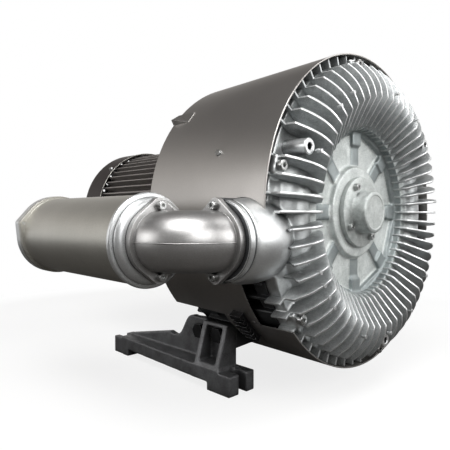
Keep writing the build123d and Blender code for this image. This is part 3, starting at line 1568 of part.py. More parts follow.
os.makedirs("parts", exist_ok=True)
for piece in (
    front_cover, bearing_cap, bearing_cap_screws, cover_bolts, middle_housing, rear_cover,
    rear_cover_bolts, front_impeller, rear_impeller, impeller_spacer, seal_sleeve, impeller_keys,
    shaft, bearing_nut, rotor_core, front_bearing_outer_ring, front_bearing_inner_ring,
    front_bearing_balls, rear_bearing_outer_ring, rear_bearing_inner_ring, rear_bearing_balls,
    shaft_seals, shroud_upper, shroud_lower, shroud_clamps, shroud_screws,
    left_elbow, right_elbow, port_gaskets, elbow_screws,
    left_silencer_collar, right_silencer_collar, left_silencer_body, right_silencer_body,
    left_silencer_end_cap, right_silencer_end_cap, left_perforated_tube, right_perforated_tube,
    left_silencer_lining, right_silencer_lining, end_cap_bolts,
    motor_frame, motor_flange_bolts, stator_core, stator_windings, motor_rear_shield,
    shield_bolts, cooling_fan, fan_cowl, cowl_screws,
    terminal_box, terminal_box_lid, lid_screws, terminal_board, cable_gland,
    left_foot, right_foot, foot_bolts,
):
    export_step(piece.part, f"parts/{piece.part.label}.step")
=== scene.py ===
# Two-stage side channel blower: finishes and detailed castings over the CAD frame, in metres
import bmesh
import bpy
import json
from math import cos, pi, radians, sin, sqrt
from mathutils import Matrix, Vector


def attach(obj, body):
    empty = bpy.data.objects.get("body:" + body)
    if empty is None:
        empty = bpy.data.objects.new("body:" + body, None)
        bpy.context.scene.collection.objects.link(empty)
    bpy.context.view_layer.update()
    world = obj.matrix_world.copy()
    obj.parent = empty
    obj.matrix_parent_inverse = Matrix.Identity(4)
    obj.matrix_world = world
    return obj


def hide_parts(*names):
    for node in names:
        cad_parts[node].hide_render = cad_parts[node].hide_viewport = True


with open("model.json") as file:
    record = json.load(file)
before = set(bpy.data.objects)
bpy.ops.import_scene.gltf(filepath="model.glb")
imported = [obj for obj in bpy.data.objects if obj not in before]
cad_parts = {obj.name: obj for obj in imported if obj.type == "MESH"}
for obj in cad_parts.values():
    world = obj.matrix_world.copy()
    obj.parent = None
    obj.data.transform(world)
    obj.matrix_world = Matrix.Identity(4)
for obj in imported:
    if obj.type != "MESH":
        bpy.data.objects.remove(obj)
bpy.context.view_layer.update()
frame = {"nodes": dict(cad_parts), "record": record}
nodes = frame["nodes"]
print("frame loaded,", len(nodes), "nodes")

shaftHeight = 0.320
portHeight = 0.279
frontSplit = -0.310
sides = {"left": -1, "right": 1}
portPlanes = {"left": -0.301, "right": -0.131}  # where the ports stand along the shaft
toShaft = Matrix.Translation((0, 0, shaftHeight))


def linear(code):  # sRGB hex to linear
    channels = [int(code[i:i + 2], 16) / 255 for i in (1, 3, 5)]
    return tuple(c / 12.92 if c <= 0.04045 else ((c + 0.055) / 1.055) ** 2.4 for c in channels) + (1,)


def addNode(tree, kind, inputs=None, **settings):
    node = tree.nodes.new(kind)
    for key, value in settings.items():
        setattr(node, key, value)
    for key, value in (inputs or {}).items():
        if isinstance(value, bpy.types.NodeSocket):
            tree.links.new(value, node.inputs[key])
        else:
            node.inputs[key].default_value = value
    return node


def newObject(name, data):
    piece = bpy.data.objects.new(name, data)
    bpy.context.scene.collection.objects.link(piece)
    return piece


def baked(piece):  # modifiers turned into plain mesh
    bpy.context.view_layer.update()
    graph = bpy.context.evaluated_depsgraph_get()
    mesh = bpy.data.meshes.new_from_object(piece.evaluated_get(graph))
    piece.modifiers.clear()
    piece.data = mesh
    return piece


def smoothBy(mesh, degrees):
    mesh.shade_smooth()
    mesh.set_sharp_from_angle(angle=radians(degrees))


# every piece that is made here stands still with the housing
def settle(piece, material, replaced=()):
    if material:
        piece.data.materials.clear()
        piece.data.materials.append(material)
    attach(piece, "housing")
    if replaced:
        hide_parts(*replaced)
    return piece


# finishes, one dictionary each; sizes in metres
# grains are drawn at 0.6 to 2 mm: the real ones, of 0.1 to 0.5 mm, are too fine to show
finishBasis = {  # what a look has where its own dictionary doesn't say
    "stretch": (1, 1, 1), "roughSpread": 0.07, "bump": 0.3, "depth": 0.0003, "wear": 0.5,
    "edge": 0.0015, "cavity": 0.03, "samples": 4,
    "cloudDetail": 4.0, "cloudRoughness": 0.6, "grainDetail": 3.0, "grainRoughness": 0.65,
}
patternRange = {  # the part of each pattern that counts as nothing to full
    "mottle": (0.75, 1.25), "corner": (0.985, 0.80), "hollow": (0.85, 0.25), "grain": (0.3, 0.7),
}


# clouded colour, grain in the roughness and the bump, brighter worn edges, painted shade in the hollows
def metalFinish(name, look):
    look = {**finishBasis, "worn": look["light"], **look}
    material = bpy.data.materials.new(name)
    material.use_nodes = True
    tree = material.node_tree
    shader = tree.nodes["Principled BSDF"]
    place = addNode(tree, "ShaderNodeTexCoord").outputs["Object"]
    stretched = addNode(tree, "ShaderNodeMapping", {"Vector": place, "Scale": look["stretch"]})
    cloud = addNode(tree, "ShaderNodeTexNoise",
                    {"Vector": place, "Scale": 1 / look["cloud"], "Detail": look["cloudDetail"],
                     "Roughness": look["cloudRoughness"]})
    grain = addNode(tree, "ShaderNodeTexNoise",
                    {"Vector": stretched.outputs[0], "Scale": 1 / look["grain"],
                     "Detail": look["grainDetail"], "Roughness": look["grainRoughness"]})
    mottle = addNode(tree, "ShaderNodeMath",
                     {0: cloud.outputs["Fac"], 1: grain.outputs["Fac"]}, operation="ADD")
    none, full = patternRange["mottle"]
    spread = addNode(tree, "ShaderNodeMapRange",
                     {"Value": mottle.outputs[0], "From Min": none, "From Max": full})
    colour = addNode(tree, "ShaderNodeMix",
                     {"Factor": spread.outputs[0], 6: linear(look["dark"]), 7: linear(look["light"])},
                     data_type="RGBA")
    rounded = addNode(tree, "ShaderNodeBevel", {"Radius": look["edge"]}, samples=look["samples"])
    flat = addNode(tree, "ShaderNodeNewGeometry")
    turned = addNode(tree, "ShaderNodeVectorMath",
                     {0: rounded.outputs[0], 1: flat.outputs["Normal"]}, operation="DOT_PRODUCT")
    none, full = patternRange["corner"]
    wear = addNode(tree, "ShaderNodeMapRange",
                   {"Value": turned.outputs["Value"], "From Min": none, "From Max": full,
                    "To Max": look["wear"]})
    worn = addNode(tree, "ShaderNodeMix",
                   {"Factor": wear.outputs[0], 6: colour.outputs[2], 7: linear(look["worn"])},
                   data_type="RGBA")
    # painted shade: an ambient-occlusion mask darkens the colour in hollows, roots and corners where shade
    # falls
    if look.get("hollowShadeAmount"):
        cavity = addNode(tree, "ShaderNodeAmbientOcclusion", {"Distance": look["cavity"]},
                         samples=look["samples"])
        none, full = patternRange["hollow"]
        hollowShade = addNode(tree, "ShaderNodeMapRange",
                       {"Value": cavity.outputs["AO"], "From Min": none, "From Max": full,
                        "To Max": look["hollowShadeAmount"]})
        worn = addNode(tree, "ShaderNodeMix",
                       {"Factor": hollowShade.outputs[0], 6: worn.outputs[2], 7: linear(look["hollowShade"])},
                       data_type="RGBA")
    tree.links.new(worn.outputs[2], shader.inputs["Base Color"])
    none, full = patternRange["grain"]
    gloss = addNode(tree, "ShaderNodeMapRange",
                    {"Value": grain.outputs["Fac"], "From Min": none, "From Max": full,
                     "To Min": look["rough"] - look["roughSpread"],
                     "To Max": look["rough"] + look["roughSpread"]})
    tree.links.new(gloss.outputs[0], shader.inputs["Roughness"])
    bump = addNode(tree, "ShaderNodeBump",
                   {"Height": grain.outputs["Fac"], "Strength": look["bump"],
                    "Distance": look["depth"], "Normal": rounded.outputs[0]})
    tree.links.new(bump.outputs[0], shader.inputs["Normal"])
    shader.inputs["Metallic"].default_value = look["metallic"]
    return material


# the looks that darken their hollows do it with painted shade, from the ambient-occlusion mask in
# metalFinish
castingLook = {  # sand-cast aluminium, shot-blasted: silver with a fine sparkle, bright where it rubs
    "dark": "#c6c8c9", "light": "#e2e4e4", "worn": "#f3f4f3", "cloud": 0.045, "grain": 0.0014,
    "metallic": 0.9, "rough": 0.38, "depth": 0.0004, "wear": 0.8, "edge": 0.0012,
    "hollowShadeAmount": 0.85, "hollowShade": "#2c2d2e", "cavity": 0.035,
}
shadedFlankLook = {  # fin flanks: pale grey cast skin with a coarse sand grain, painted a shade greyer than the bulges for the shade between the fins, with painted shade in the roots
    "dark": "#a0a3a4", "light": "#c9cccc", "worn": "#dee0df", "cloud": 0.016, "grain": 0.0020,
    "metallic": 0.7, "rough": 0.45, "bump": 0.6, "depth": 0.0005, "wear": 0.3, "edge": 0.0008,
    "hollowShadeAmount": 0.5, "hollowShade": "#2a2b2c", "cavity": 0.012,
}
shadedShellLook = {  # channel shell between the fins, blasted: painted shade, a greyer copy of the bulges' silver for the shade the fins throw on it; it mirrors the room softly
    "dark": "#b5b8b8", "light": "#d2d5d5", "worn": "#e8eae9", "cloud": 0.03, "grain": 0.0016,
    "metallic": 0.85, "rough": 0.34, "bump": 0.35, "depth": 0.0004, "edge": 0.001,
    "hollowShadeAmount": 0.5, "hollowShade": "#2c2d2e", "cavity": 0.014,
}
landLook = {  # ribs and lands of the cover, milled and dulled: mid grey with fine grain
    "dark": "#868d8e", "light": "#a6adad", "worn": "#e6e9e8", "cloud": 0.03, "grain": 0.0013,
    "metallic": 0.7, "rough": 0.46, "bump": 0.35, "depth": 0.0004, "wear": 0.9, "edge": 0.0014,
}
webLook = {  # flat web of the cover, blasted: even pale grey
    "dark": "#b4bab8", "light": "#e6eae8", "worn": "#f2f4f3", "cloud": 0.03, "grain": 0.0020,
    "metallic": 0.55, "rough": 0.5, "bump": 0.7, "depth": 0.0005, "wear": 0.6, "edge": 0.0012,
    "hollowShadeAmount": 0.5, "hollowShade": "#5a5e5e", "cavity": 0.02,
}
shadedHousingLook = {  # housing as cast: dark grey with a rough sand skin, painted shade for the shade under the shroud
    "dark": "#4b4d4f", "light": "#696b6d", "worn": "#a9abac", "cloud": 0.04, "grain": 0.0018,
    "metallic": 0.8, "rough": 0.45, "bump": 0.5, "depth": 0.0005, "wear": 0.7, "edge": 0.0018,
    "hollowShadeAmount": 0.8, "hollowShade": "#151516", "cavity": 0.04,
}
crestLook = {  # fin crests ground flat: the brightest metal on the casting
    "dark": "#d2d4d4", "light": "#eceded", "cloud": 0.02, "grain": 0.0008, "metallic": 0.85,
    "rough": 0.36, "bump": 0.15, "wear": 0.0, "edge": 0.0006,
}
elbowLook = {  # cast aluminium, linished along the pipe: soft silky streaks
    "dark": "#a8a7a6", "light": "#bdbcbb", "worn": "#f0f0ef", "cloud": 0.09, "grain": 0.0012,
    "stretch": (0.3, 1, 1), "metallic": 0.9, "rough": 0.37, "roughSpread": 0.04, "bump": 0.15,
    "wear": 0.8, "edge": 0.0012, "hollowShadeAmount": 0.6, "hollowShade": "#3a3a3a", "cavity": 0.012,
}
machinedLook = {  # turned aluminium: bright, with faint turning marks
    "dark": "#a3a4a4", "light": "#c6c7c7", "worn": "#e4e4e4", "cloud": 0.03, "grain": 0.0009,
    "stretch": (1, 6, 1), "metallic": 0.95, "rough": 0.3, "bump": 0.12, "wear": 0.6,
}
hubLook = {  # blasted and clear-lacquered hub cap: matt pale grey with coarse grain
    "dark": "#a2a7a5", "light": "#d0d4d2", "worn": "#eceeed", "cloud": 0.012, "grain": 0.0016,
    "metallic": 0.6, "rough": 0.5, "bump": 0.6, "depth": 0.0005, "wear": 0.8, "edge": 0.0014,
    "hollowShadeAmount": 0.6, "hollowShade": "#45494a", "cavity": 0.012,
}
shroudLook = {  # rolled sheet steel in metallic grey enamel: smooth, with a broad soft mirror
    "dark": "#aba8a5", "light": "#b5b2af", "worn": "#d6d4d2", "cloud": 0.16, "grain": 0.0016,
    "metallic": 0.92, "rough": 0.34, "roughSpread": 0.02, "bump": 0.03, "wear": 0.6,
    "edge": 0.0008,
}
silencerLook = {  # sheet steel tube in silver-grey metallic enamel: silky along its length
    "dark": "#a9a7a0", "light": "#b7b5ae", "worn": "#e2e2dd", "cloud": 0.12, "grain": 0.0012,
    "stretch": (1, 0.3, 1), "metallic": 0.85, "rough": 0.36, "roughSpread": 0.03, "bump": 0.08,
}
footLook = {  # grey cast iron under thin dark enamel: coarse sand texture, rubbed edges
    "dark": "#525253", "light": "#77787a", "worn": "#cfd0d0", "cloud": 0.025, "grain": 0.0020,
    "metallic": 0.6, "rough": 0.42, "bump": 0.8, "depth": 0.0006, "wear": 0.8, "edge": 0.002,
    "hollowShadeAmount": 0.6, "hollowShade": "#161617", "cavity": 0.04,
}
motorLook = {  # cast iron frame in warm grey enamel: the deep fins shade it to a darker grey
    "dark": "#7a7673", "light": "#8b8683", "worn": "#b2ada9", "cloud": 0.05, "grain": 0.0016,
    "metallic": 0.4, "rough": 0.42, "edge": 0.0012,
}
cowlLook = {  # pressed sheet steel cowl in brown-black enamel: even, with a satin sheen
    "dark": "#241e1d", "light": "#2c2625", "worn": "#5b5452", "cloud": 0.09, "grain": 0.0016,
    "metallic": 0.4, "rough": 0.4, "roughSpread": 0.03, "bump": 0.08, "wear": 0.4,
}
blackSteelLook = {  # black-oxide steel: near black, bare and bright on its corners
    "dark": "#1d1d1e", "light": "#303032", "worn": "#a2a2a4", "cloud": 0.02, "grain": 0.0009,
    "metallic": 0.8, "rough": 0.40, "bump": 0.2, "wear": 0.8, "edge": 0.0008,
}
zincLook = {  # bright zinc-plated steel screws: pale and glossy
    "dark": "#a5a6a5", "light": "#c3c4c3", "worn": "#e6e6e6", "cloud": 0.01, "grain": 0.0006,
    "metallic": 1.0, "rough": 0.28, "bump": 0.1, "wear": 0.6, "edge": 0.0006,
}
bearingLook = {  # ground and honed bearing steel: close to a mirror
    "dark": "#9fa0a2", "light": "#b4b5b7", "worn": "#d8d8da", "cloud": 0.02, "grain": 0.0006,
    "metallic": 1.0, "rough": 0.16, "roughSpread": 0.04, "bump": 0.04, "wear": 0.3,
}
laminationLook = {  # stacked silicon-steel sheets: fine lines round the stack
    "dark": "#4a4b4d", "light": "#6c6d70", "worn": "#8c8d90", "cloud": 0.03, "grain": 0.0009,
    "stretch": (0.05, 3, 0.05), "metallic": 0.9, "rough": 0.4, "bump": 0.6, "wear": 0.3,
}
copperLook = {  # enamelled copper winding wire: red brown, with fine lines along the wire
    "dark": "#8a4526", "light": "#b8643a", "worn": "#d98b5f", "cloud": 0.02, "grain": 0.0012,
    "stretch": (1, 0.1, 1), "metallic": 0.9, "rough": 0.3, "bump": 0.6, "wear": 0.2,
}
rubberLook = {  # moulded nitrile rubber: dull black
    "dark": "#141414", "light": "#1e1e1e", "worn": "#333333", "cloud": 0.02, "grain": 0.0008,
    "metallic": 0.0, "rough": 0.6, "bump": 0.2, "wear": 0.3,
}
foamLook = {  # open-cell polyester foam with 2 mm cells: black, no sheen
    "dark": "#202021", "light": "#454547", "cloud": 0.02, "grain": 0.002, "metallic": 0.0,
    "rough": 0.9, "bump": 1.0, "depth": 0.0012, "wear": 0.0,
}
nylonLook = {  # moulded glass-filled nylon: black with a slight sheen
    "dark": "#141415", "light": "#202022", "worn": "#3a3a3c", "cloud": 0.03, "grain": 0.0010,
    "metallic": 0.0, "rough": 0.48, "bump": 0.15, "wear": 0.3,
}
finishes = {
    "cast_aluminium": metalFinish("blastedCastAluminium", castingLook),
    "elbow_casting": metalFinish("linishedCastAluminium", elbowLook),
    "machined_aluminium": metalFinish("turnedAluminium", machinedLook),
    "shroud_paint": metalFinish("satinGreyEnamel", shroudLook),
    "black_steel": metalFinish("blackOxideSteel", blackSteelLook),
    "zinc_steel": metalFinish("zincPlatedSteel", zincLook),
    "bearing_steel": metalFinish("groundBearingSteel", bearingLook),
    "laminations": metalFinish("siliconSteelSheets", laminationLook),
    "copper": metalFinish("enamelledCopperWire", copperLook),
    "seal_rubber": metalFinish("nitrileRubber", rubberLook),
    "silencer_paint": metalFinish("silverGreyEnamel", silencerLook),
    "acoustic_foam": metalFinish("polyesterFoam", foamLook),
    "motor_paint": metalFinish("warmGreyEnamel", motorLook),
    "cowl_paint": metalFinish("brownBlackEnamel", cowlLook),
    "fan_plastic": metalFinish("glassFilledNylon", nylonLook),
    "foot_iron": metalFinish("enamelledCastIron", footLook),
}
crestMetal = metalFinish("groundAluminiumCrest", crestLook)
shadedFlankMetal = metalFinish("shadedFlankAluminium", shadedFlankLook)
landMetal = metalFinish("milledCastAluminium", landLook)
shadedShellMetal = metalFinish("shadedShellAluminium", shadedShellLook)
webMetal = metalFinish("paleBlastedAluminium", webLook)
shadedHousingCasting = metalFinish("shadedHousingAluminium", shadedHousingLook)
hubMetal = metalFinish("lacqueredCastAluminium", hubLook)

slotOf = {part["node"]: part["material_slot"] for part in frame["record"]["subparts"]}
for name, node in nodes.items():
    node.data.materials.clear()
    node.data.materials.append(finishes[slotOf[name]])
# painted shade: the housing and the rear cover, under the shroud, get the darker grey cast metal for the
# shade they sit in
for name in ("middle_housing", "rear_cover"):
    nodes[name].data.materials[0] = shadedHousingCasting
print("finishes made for", len(finishes), "slots")


# front cover: the ribbed casting, its shell remeshed so that its corners are soft
coverShape = {
    "webRadius": 0.246, "flangeRadius": 0.262, "flangeDepth": 0.024, "web": 0.010,
    "channelCircle": 0.200, "shellRadius": 0.045, "shellSteps": 24, "boreRadius": 0.038, "boreSteps": 20,
    "hubRing": 0.083, "hubRingReach": 0.0215, "hubPad": 0.066, "hubPadReach": 0.022, "bearing": 0.040,
    "draft": 0.001, "sunk": 0.002,
    "ribCount": 8, "ribWidth": 0.029, "ribReach": 0.019, "ribStep": 0.122,
    "innerRibWidth": 0.026, "innerRibReach": 0.0150, "innerRibRoot": 0.006,
    "landApothem": 0.140, "landRadius": 0.152, "landSteps": 192,
    "flatInner": 0.150, "flatOuter": 0.168, "flatReach": 0.034,
    "crossover": 0.050, "crossoverCircle": 0.210, "crossoverAngle": 246, "crossoverReach": 0.012,
    "crossoverSteps": (64, 40),
    "lugAngles": (99, 165, 219, 279, 339, 39), "lugRadius": 0.2695, "lugWidth": 0.030, "lugReach": 0.038,
    "voxel": 0.0024, "passes": 4, "splitGap": 0.0002, "kept": 0.55,
}
inletBulge = {  # turned about the port's axis; the outline is (distance from the shaft's plane, radius)
    "setback": 0.009, "drop": 0.0425, "steps": 96,
    "outline": ((0.3120, 0.0), (0.3120, 0.0570), (0.3112, 0.0592), (0.3090, 0.0606), (0.300, 0.0622),
                (0.288, 0.0638), (0.275, 0.0646), (0.262, 0.0644), (0.250, 0.0630), (0.236, 0.0590),
                (0.224, 0.0520), (0.210, 0.038), (0.200, 0.0)),
}
coverPaint = {  # where one metal gives way to the next
    "margin": 0.002, "raised": 0.003, "upright": 0.5, "hubMargin": 0.004,
    "bulgeStart": -0.236, "bulgeHalf": 0.066,
}
finShape = {
    "count": 60, "step": 6, "thickness": 0.0042, "round": 0.0009, "roundAngle": 50,
    "root": 0.005, "footRadius": 0.1485, "footReach": 0.046, "heelReach": 0.012, "heelRise": 0.006,
    "crestRadius": 0.200, "crestReach": 0.079, "crestBend": 0.030, "curveSteps": 10,
    "rimRadius": 0.262, "rimReach": 0.048, "rimBend": 0.013, "rimFoot": 0.260,
    "tabReach": 0.030, "tabRadius": 0.2765,
    "tipRadius": 0.2520, "tipStart": 186, "tipCount": 4, "tipEdge": 0.004, "tipBack": 0.044,
    "tipSlope": 0.008, "gap": (183, 207), "bossFin": 6, "bossEvery": 20, "bossTip": 0.2240,
}
bossShape = {
    "circle": 0.235, "radius": 0.0125, "bore": 0.0055, "depth": 0.020, "reach": 0.066, "foot": 0.020,
    "chamfer": 0.0015, "countersink": 0.001, "drillPoint": 0.002, "steps": 48, "facing": 0.0008,
    "count": 3, "step": 120, "start": 36,
}


def aroundShaft(angle):  # brings something from the right of the shaft to an angle seen from the front
    return Matrix.Rotation(-radians(angle), 4, "Y")


# spin a closed profile of (y, radius) points round the shaft; it may be a function of the angle
def lathe(mesh, profile, steps=180):
    rings = []
    for i in range(steps):
        a = 2 * pi * i / steps
        outline = profile(a) if callable(profile) else profile
        rings.append([mesh.verts.new((r * cos(a), y, r * sin(a))) for y, r in outline])
    count = len(rings[0])
    for i in range(steps):
        near, far = rings[i], rings[(i + 1) % steps]
        for j in range(count):
            k = (j + 1) % count
            mesh.faces.new((near[j], near[k], far[k], far[j]))


def block(mesh, low, high, turn):
    made = bmesh.ops.create_cube(mesh, size=1)["verts"]
    size = Vector(high) - Vector(low)
    middle = (Vector(high) + Vector(low)) / 2
    bmesh.ops.transform(mesh, verts=made,
                        matrix=turn @ Matrix.Translation(middle) @ Matrix.Diagonal(size).to_4x4())


def peg(mesh, start, end, radius, steps):  # closed cylinder between two points
    start, end = Vector(start), Vector(end)
    made = bmesh.ops.create_cone(mesh, cap_ends=True, segments=steps, radius1=radius, radius2=radius,
                                 depth=(end - start).length)["verts"]
    turn = (end - start).to_track_quat("Z", "Y").to_matrix().to_4x4()
    bmesh.ops.transform(mesh, verts=made, matrix=Matrix.Translation((start + end) / 2) @ turn)


def meshObject(name, mesh, angle=35):
    bmesh.ops.remove_doubles(mesh, verts=mesh.verts, dist=1e-6)
    bmesh.ops.recalc_face_normals(mesh, faces=mesh.faces)
    data = bpy.data.meshes.new(name)
    mesh.to_mesh(data)
    smoothBy(data, angle)
    return newObject(name, data)


def castSkin(piece, voxel, passes):  # a remesh and a smoothing that round every corner as a mould does
    remesh = piece.modifiers.new("cast", "REMESH")
    remesh.mode = "VOXEL"
    remesh.voxel_size = voxel
    soften = piece.modifiers.new("soften", "SMOOTH")
    soften.factor = 0.5
    soften.iterations = passes


def thinned(piece, kept):
    thin = piece.modifiers.new("thin", "DECIMATE")
    thin.ratio = kept
    baked(piece)
    piece.data.shade_smooth()


def coverShell():
    s = coverShape
    y = frontSplit
    draft, sunk = s["draft"], s["sunk"]
    mesh = bmesh.new()
    profile = [(y, s["bearing"]), (y - s["hubPadReach"], s["bearing"]), (y - s["hubPadReach"], s["hubPad"]),
               (y - s["hubRingReach"], s["hubPad"] + draft), (y - s["hubRingReach"], s["hubRing"]),
               (y - s["web"], s["hubRing"] + draft)]
    for i in range(s["shellSteps"] + 1):
        turn = pi * i / s["shellSteps"]
        r = s["channelCircle"] - s["shellRadius"] * cos(turn)
        reach = s["shellRadius"] * sin(turn)
        if reach > (s["web"] if r < s["channelCircle"] else s["flangeDepth"]) + draft:
            profile.append((y - reach, r))
    profile += [(y - s["flangeDepth"], s["webRadius"]), (y - s["flangeDepth"], s["flangeRadius"]),
                (y, s["flangeRadius"])]
    profile += [(y - s["boreRadius"] * sin(pi * i / s["boreSteps"]),
                 s["channelCircle"] + s["boreRadius"] * cos(pi * i / s["boreSteps"]))
                for i in range(s["boreSteps"] + 1)]
    lathe(mesh, profile)
    for i in range(s["ribCount"]):
        turn = aroundShaft(360 * i / s["ribCount"])
        half = s["ribWidth"] / 2
        block(mesh, (s["ribStep"], y - s["ribReach"], -half), (s["flatInner"], y - sunk, half), turn)
        half = s["innerRibWidth"] / 2
        block(mesh, (s["hubPad"] - s["innerRibRoot"], y - s["innerRibReach"], -half),
              (s["ribStep"] + sunk, y - sunk, half), turn)

    def landOutline(a):  # octagon inside with its corners on the ribs, round outside
        side = 2 * pi / s["ribCount"]
        inner = s["landApothem"] / cos((a % side) - side / 2)
        top = y - s["ribReach"]
        return [(y, inner), (top, inner), (top, s["landRadius"]), (y, s["landRadius"])]

    lathe(mesh, landOutline, s["landSteps"])
    lathe(mesh, [(y, s["flatInner"]), (y - s["flatReach"], s["flatInner"]),
                 (y - s["flatReach"], s["flatOuter"]), (y, s["flatOuter"])])
    for angle in s["lugAngles"]:
        half = s["lugWidth"] / 2
        block(mesh, (s["webRadius"] - sunk, y - s["lugReach"], -half), (s["lugRadius"], y, half),
              aroundShaft(angle))
    # bulges over the port and the crossing, cut off at the split
    bulge = bmesh.new()
    lathe(bulge, inletBulge["outline"], inletBulge["steps"])
    bmesh.ops.transform(bulge, verts=bulge.verts,
                        matrix=Matrix.Translation((0, y + inletBulge["setback"], -inletBulge["drop"]))
                        @ Matrix.Rotation(pi / 2, 4, "Z"))
    part = bpy.data.meshes.new("bulge")
    bulge.to_mesh(part)
    mesh.from_mesh(part)
    place = Vector((s["crossoverCircle"] * cos(radians(s["crossoverAngle"])), y - s["crossoverReach"],
                    s["crossoverCircle"] * sin(radians(s["crossoverAngle"]))))
    bmesh.ops.create_uvsphere(mesh, u_segments=s["crossoverSteps"][0], v_segments=s["crossoverSteps"][1],
                              radius=s["crossover"], matrix=Matrix.Translation(place))
    bmesh.ops.recalc_face_normals(mesh, faces=mesh.faces)
    bmesh.ops.transform(mesh, verts=mesh.verts, matrix=toShaft)
    data = bpy.data.meshes.new("coverShell")
    mesh.to_mesh(data)
    piece = newObject("coverShell", data)
    castSkin(piece, s["voxel"], s["passes"])
    baked(piece)
    # nothing behind the split plane
    mesh = bmesh.new()
    mesh.from_mesh(piece.data)
    cut = bmesh.ops.bisect_plane(mesh, geom=mesh.verts[:] + mesh.edges[:] + mesh.faces[:],
                                 plane_co=(0, y - s["splitGap"], 0), plane_no=(0, 1, 0), clear_outer=True)
    edges = [e for e in cut["geom_cut"] if isinstance(e, bmesh.types.BMEdge)]
    bmesh.ops.holes_fill(mesh, edges=edges, sides=0)
    mesh.to_mesh(piece.data)
    thinned(piece, s["kept"])
    paintCover(piece.data, toShaft @ place)
    return piece


# the hub and the bulges are silver, the web is pale, the ribs and lands are darker, and the shell between
# the fins gets a greyer copy of the silver as painted shade
def paintCover(data, crossing):
    s, p = coverShape, coverPaint
    for metal in (finishes["cast_aluminium"], webMetal, landMetal, shadedShellMetal):
        data.materials.append(metal)
    silver, pale, dark, grey = range(4)
    for face in data.polygons:
        x, y, z = face.center
        r = sqrt(x * x + (z - shaftHeight) ** 2)
        raised = frontSplit - y > s["web"] + p["raised"]
        onBulge = x < p["bulgeStart"] and abs(z - shaftHeight + inletBulge["drop"]) < p["bulgeHalf"]
        onCrossing = (face.center - crossing).length <= s["crossover"] + p["margin"]
        if r < s["flatInner"] + p["margin"] and (raised or abs(face.normal.y) < p["upright"]):
            face.material_index = dark if r > s["hubRing"] + p["hubMargin"] else pale
        elif r < s["flatOuter"]:
            face.material_index = pale
        else:
            face.material_index = silver if onBulge or onCrossing else grey


def bent(a, handleA, handleB, b, t):  # a point on the curve between two ends with a handle each
    return a * (1 - t) ** 3 + handleA * 3 * t * (1 - t) ** 2 + handleB * 3 * t * t * (1 - t) + b * t ** 3


# one fin at the right of the shaft with rounded edges, its crest faces marked; it may end short at a radius
def finBlank(tip=0):
    s = finShape
    y = frontSplit
    root = y - s["root"]
    outline = [(root, s["footRadius"]), (y - s["footReach"] + s["heelReach"], s["footRadius"]),
               (y - s["footReach"], s["footRadius"] + s["heelRise"])]
    # the crest bends over in a curve from the top to the rim
    a, b = Vector((y - s["crestReach"], s["crestRadius"])), Vector((y - s["rimReach"], s["rimRadius"]))
    handleA, handleB = a + Vector((0, s["crestBend"])), b - Vector((s["rimBend"], s["rimBend"]))
    crest = [tuple(bent(a, handleA, handleB, b, i / s["curveSteps"])) for i in range(s["curveSteps"] + 1)]
    if tip:
        last = [p for p in crest if p[1] < tip]
        beyond = crest[len(last)]
        part = (tip - last[-1][1]) / (beyond[1] - last[-1][1])
        end = last[-1][0] + (beyond[0] - last[-1][0]) * part
        crest = last
        low = tip - s["tipSlope"]
        outline += crest + [(end, tip), (end + s["tipEdge"], tip), (y - s["tipBack"], low), (root, low)]
    else:
        outline += crest
        outline += [(y - s["tabReach"], s["rimRadius"]), (y - s["tabReach"], s["tabRadius"]),
                    (y, s["tabRadius"]), (y, s["rimFoot"]), (root, s["rimFoot"])]
    mesh = bmesh.new()
    half = s["thickness"] / 2
    left = [mesh.verts.new((r, py, -half)) for py, r in outline]
    right = [mesh.verts.new((r, py, half)) for py, r in outline]
    mesh.faces.new(left)
    mesh.faces.new(list(reversed(right)))
    crestLayer = mesh.faces.layers.int.new("crest")
    for i in range(len(outline)):
        k = (i + 1) % len(outline)
        face = mesh.faces.new((left[k], left[i], right[i], right[k]))
        face[crestLayer] = 1 if 2 <= i <= len(crest) + 2 - (1 if tip else 0) else 0
    bmesh.ops.recalc_face_normals(mesh, faces=mesh.faces)
    data = bpy.data.meshes.new("finBlank")
    mesh.to_mesh(data)
    piece = newObject("finBlank", data)
    bevel = piece.modifiers.new("edge", "BEVEL")
    bevel.width = s["round"]
    bevel.segments = 2
    bevel.limit_method = "ANGLE"
    bevel.angle_limit = radians(s["roundAngle"])
    baked(piece)
    smoothBy(piece.data, 40)
    return piece


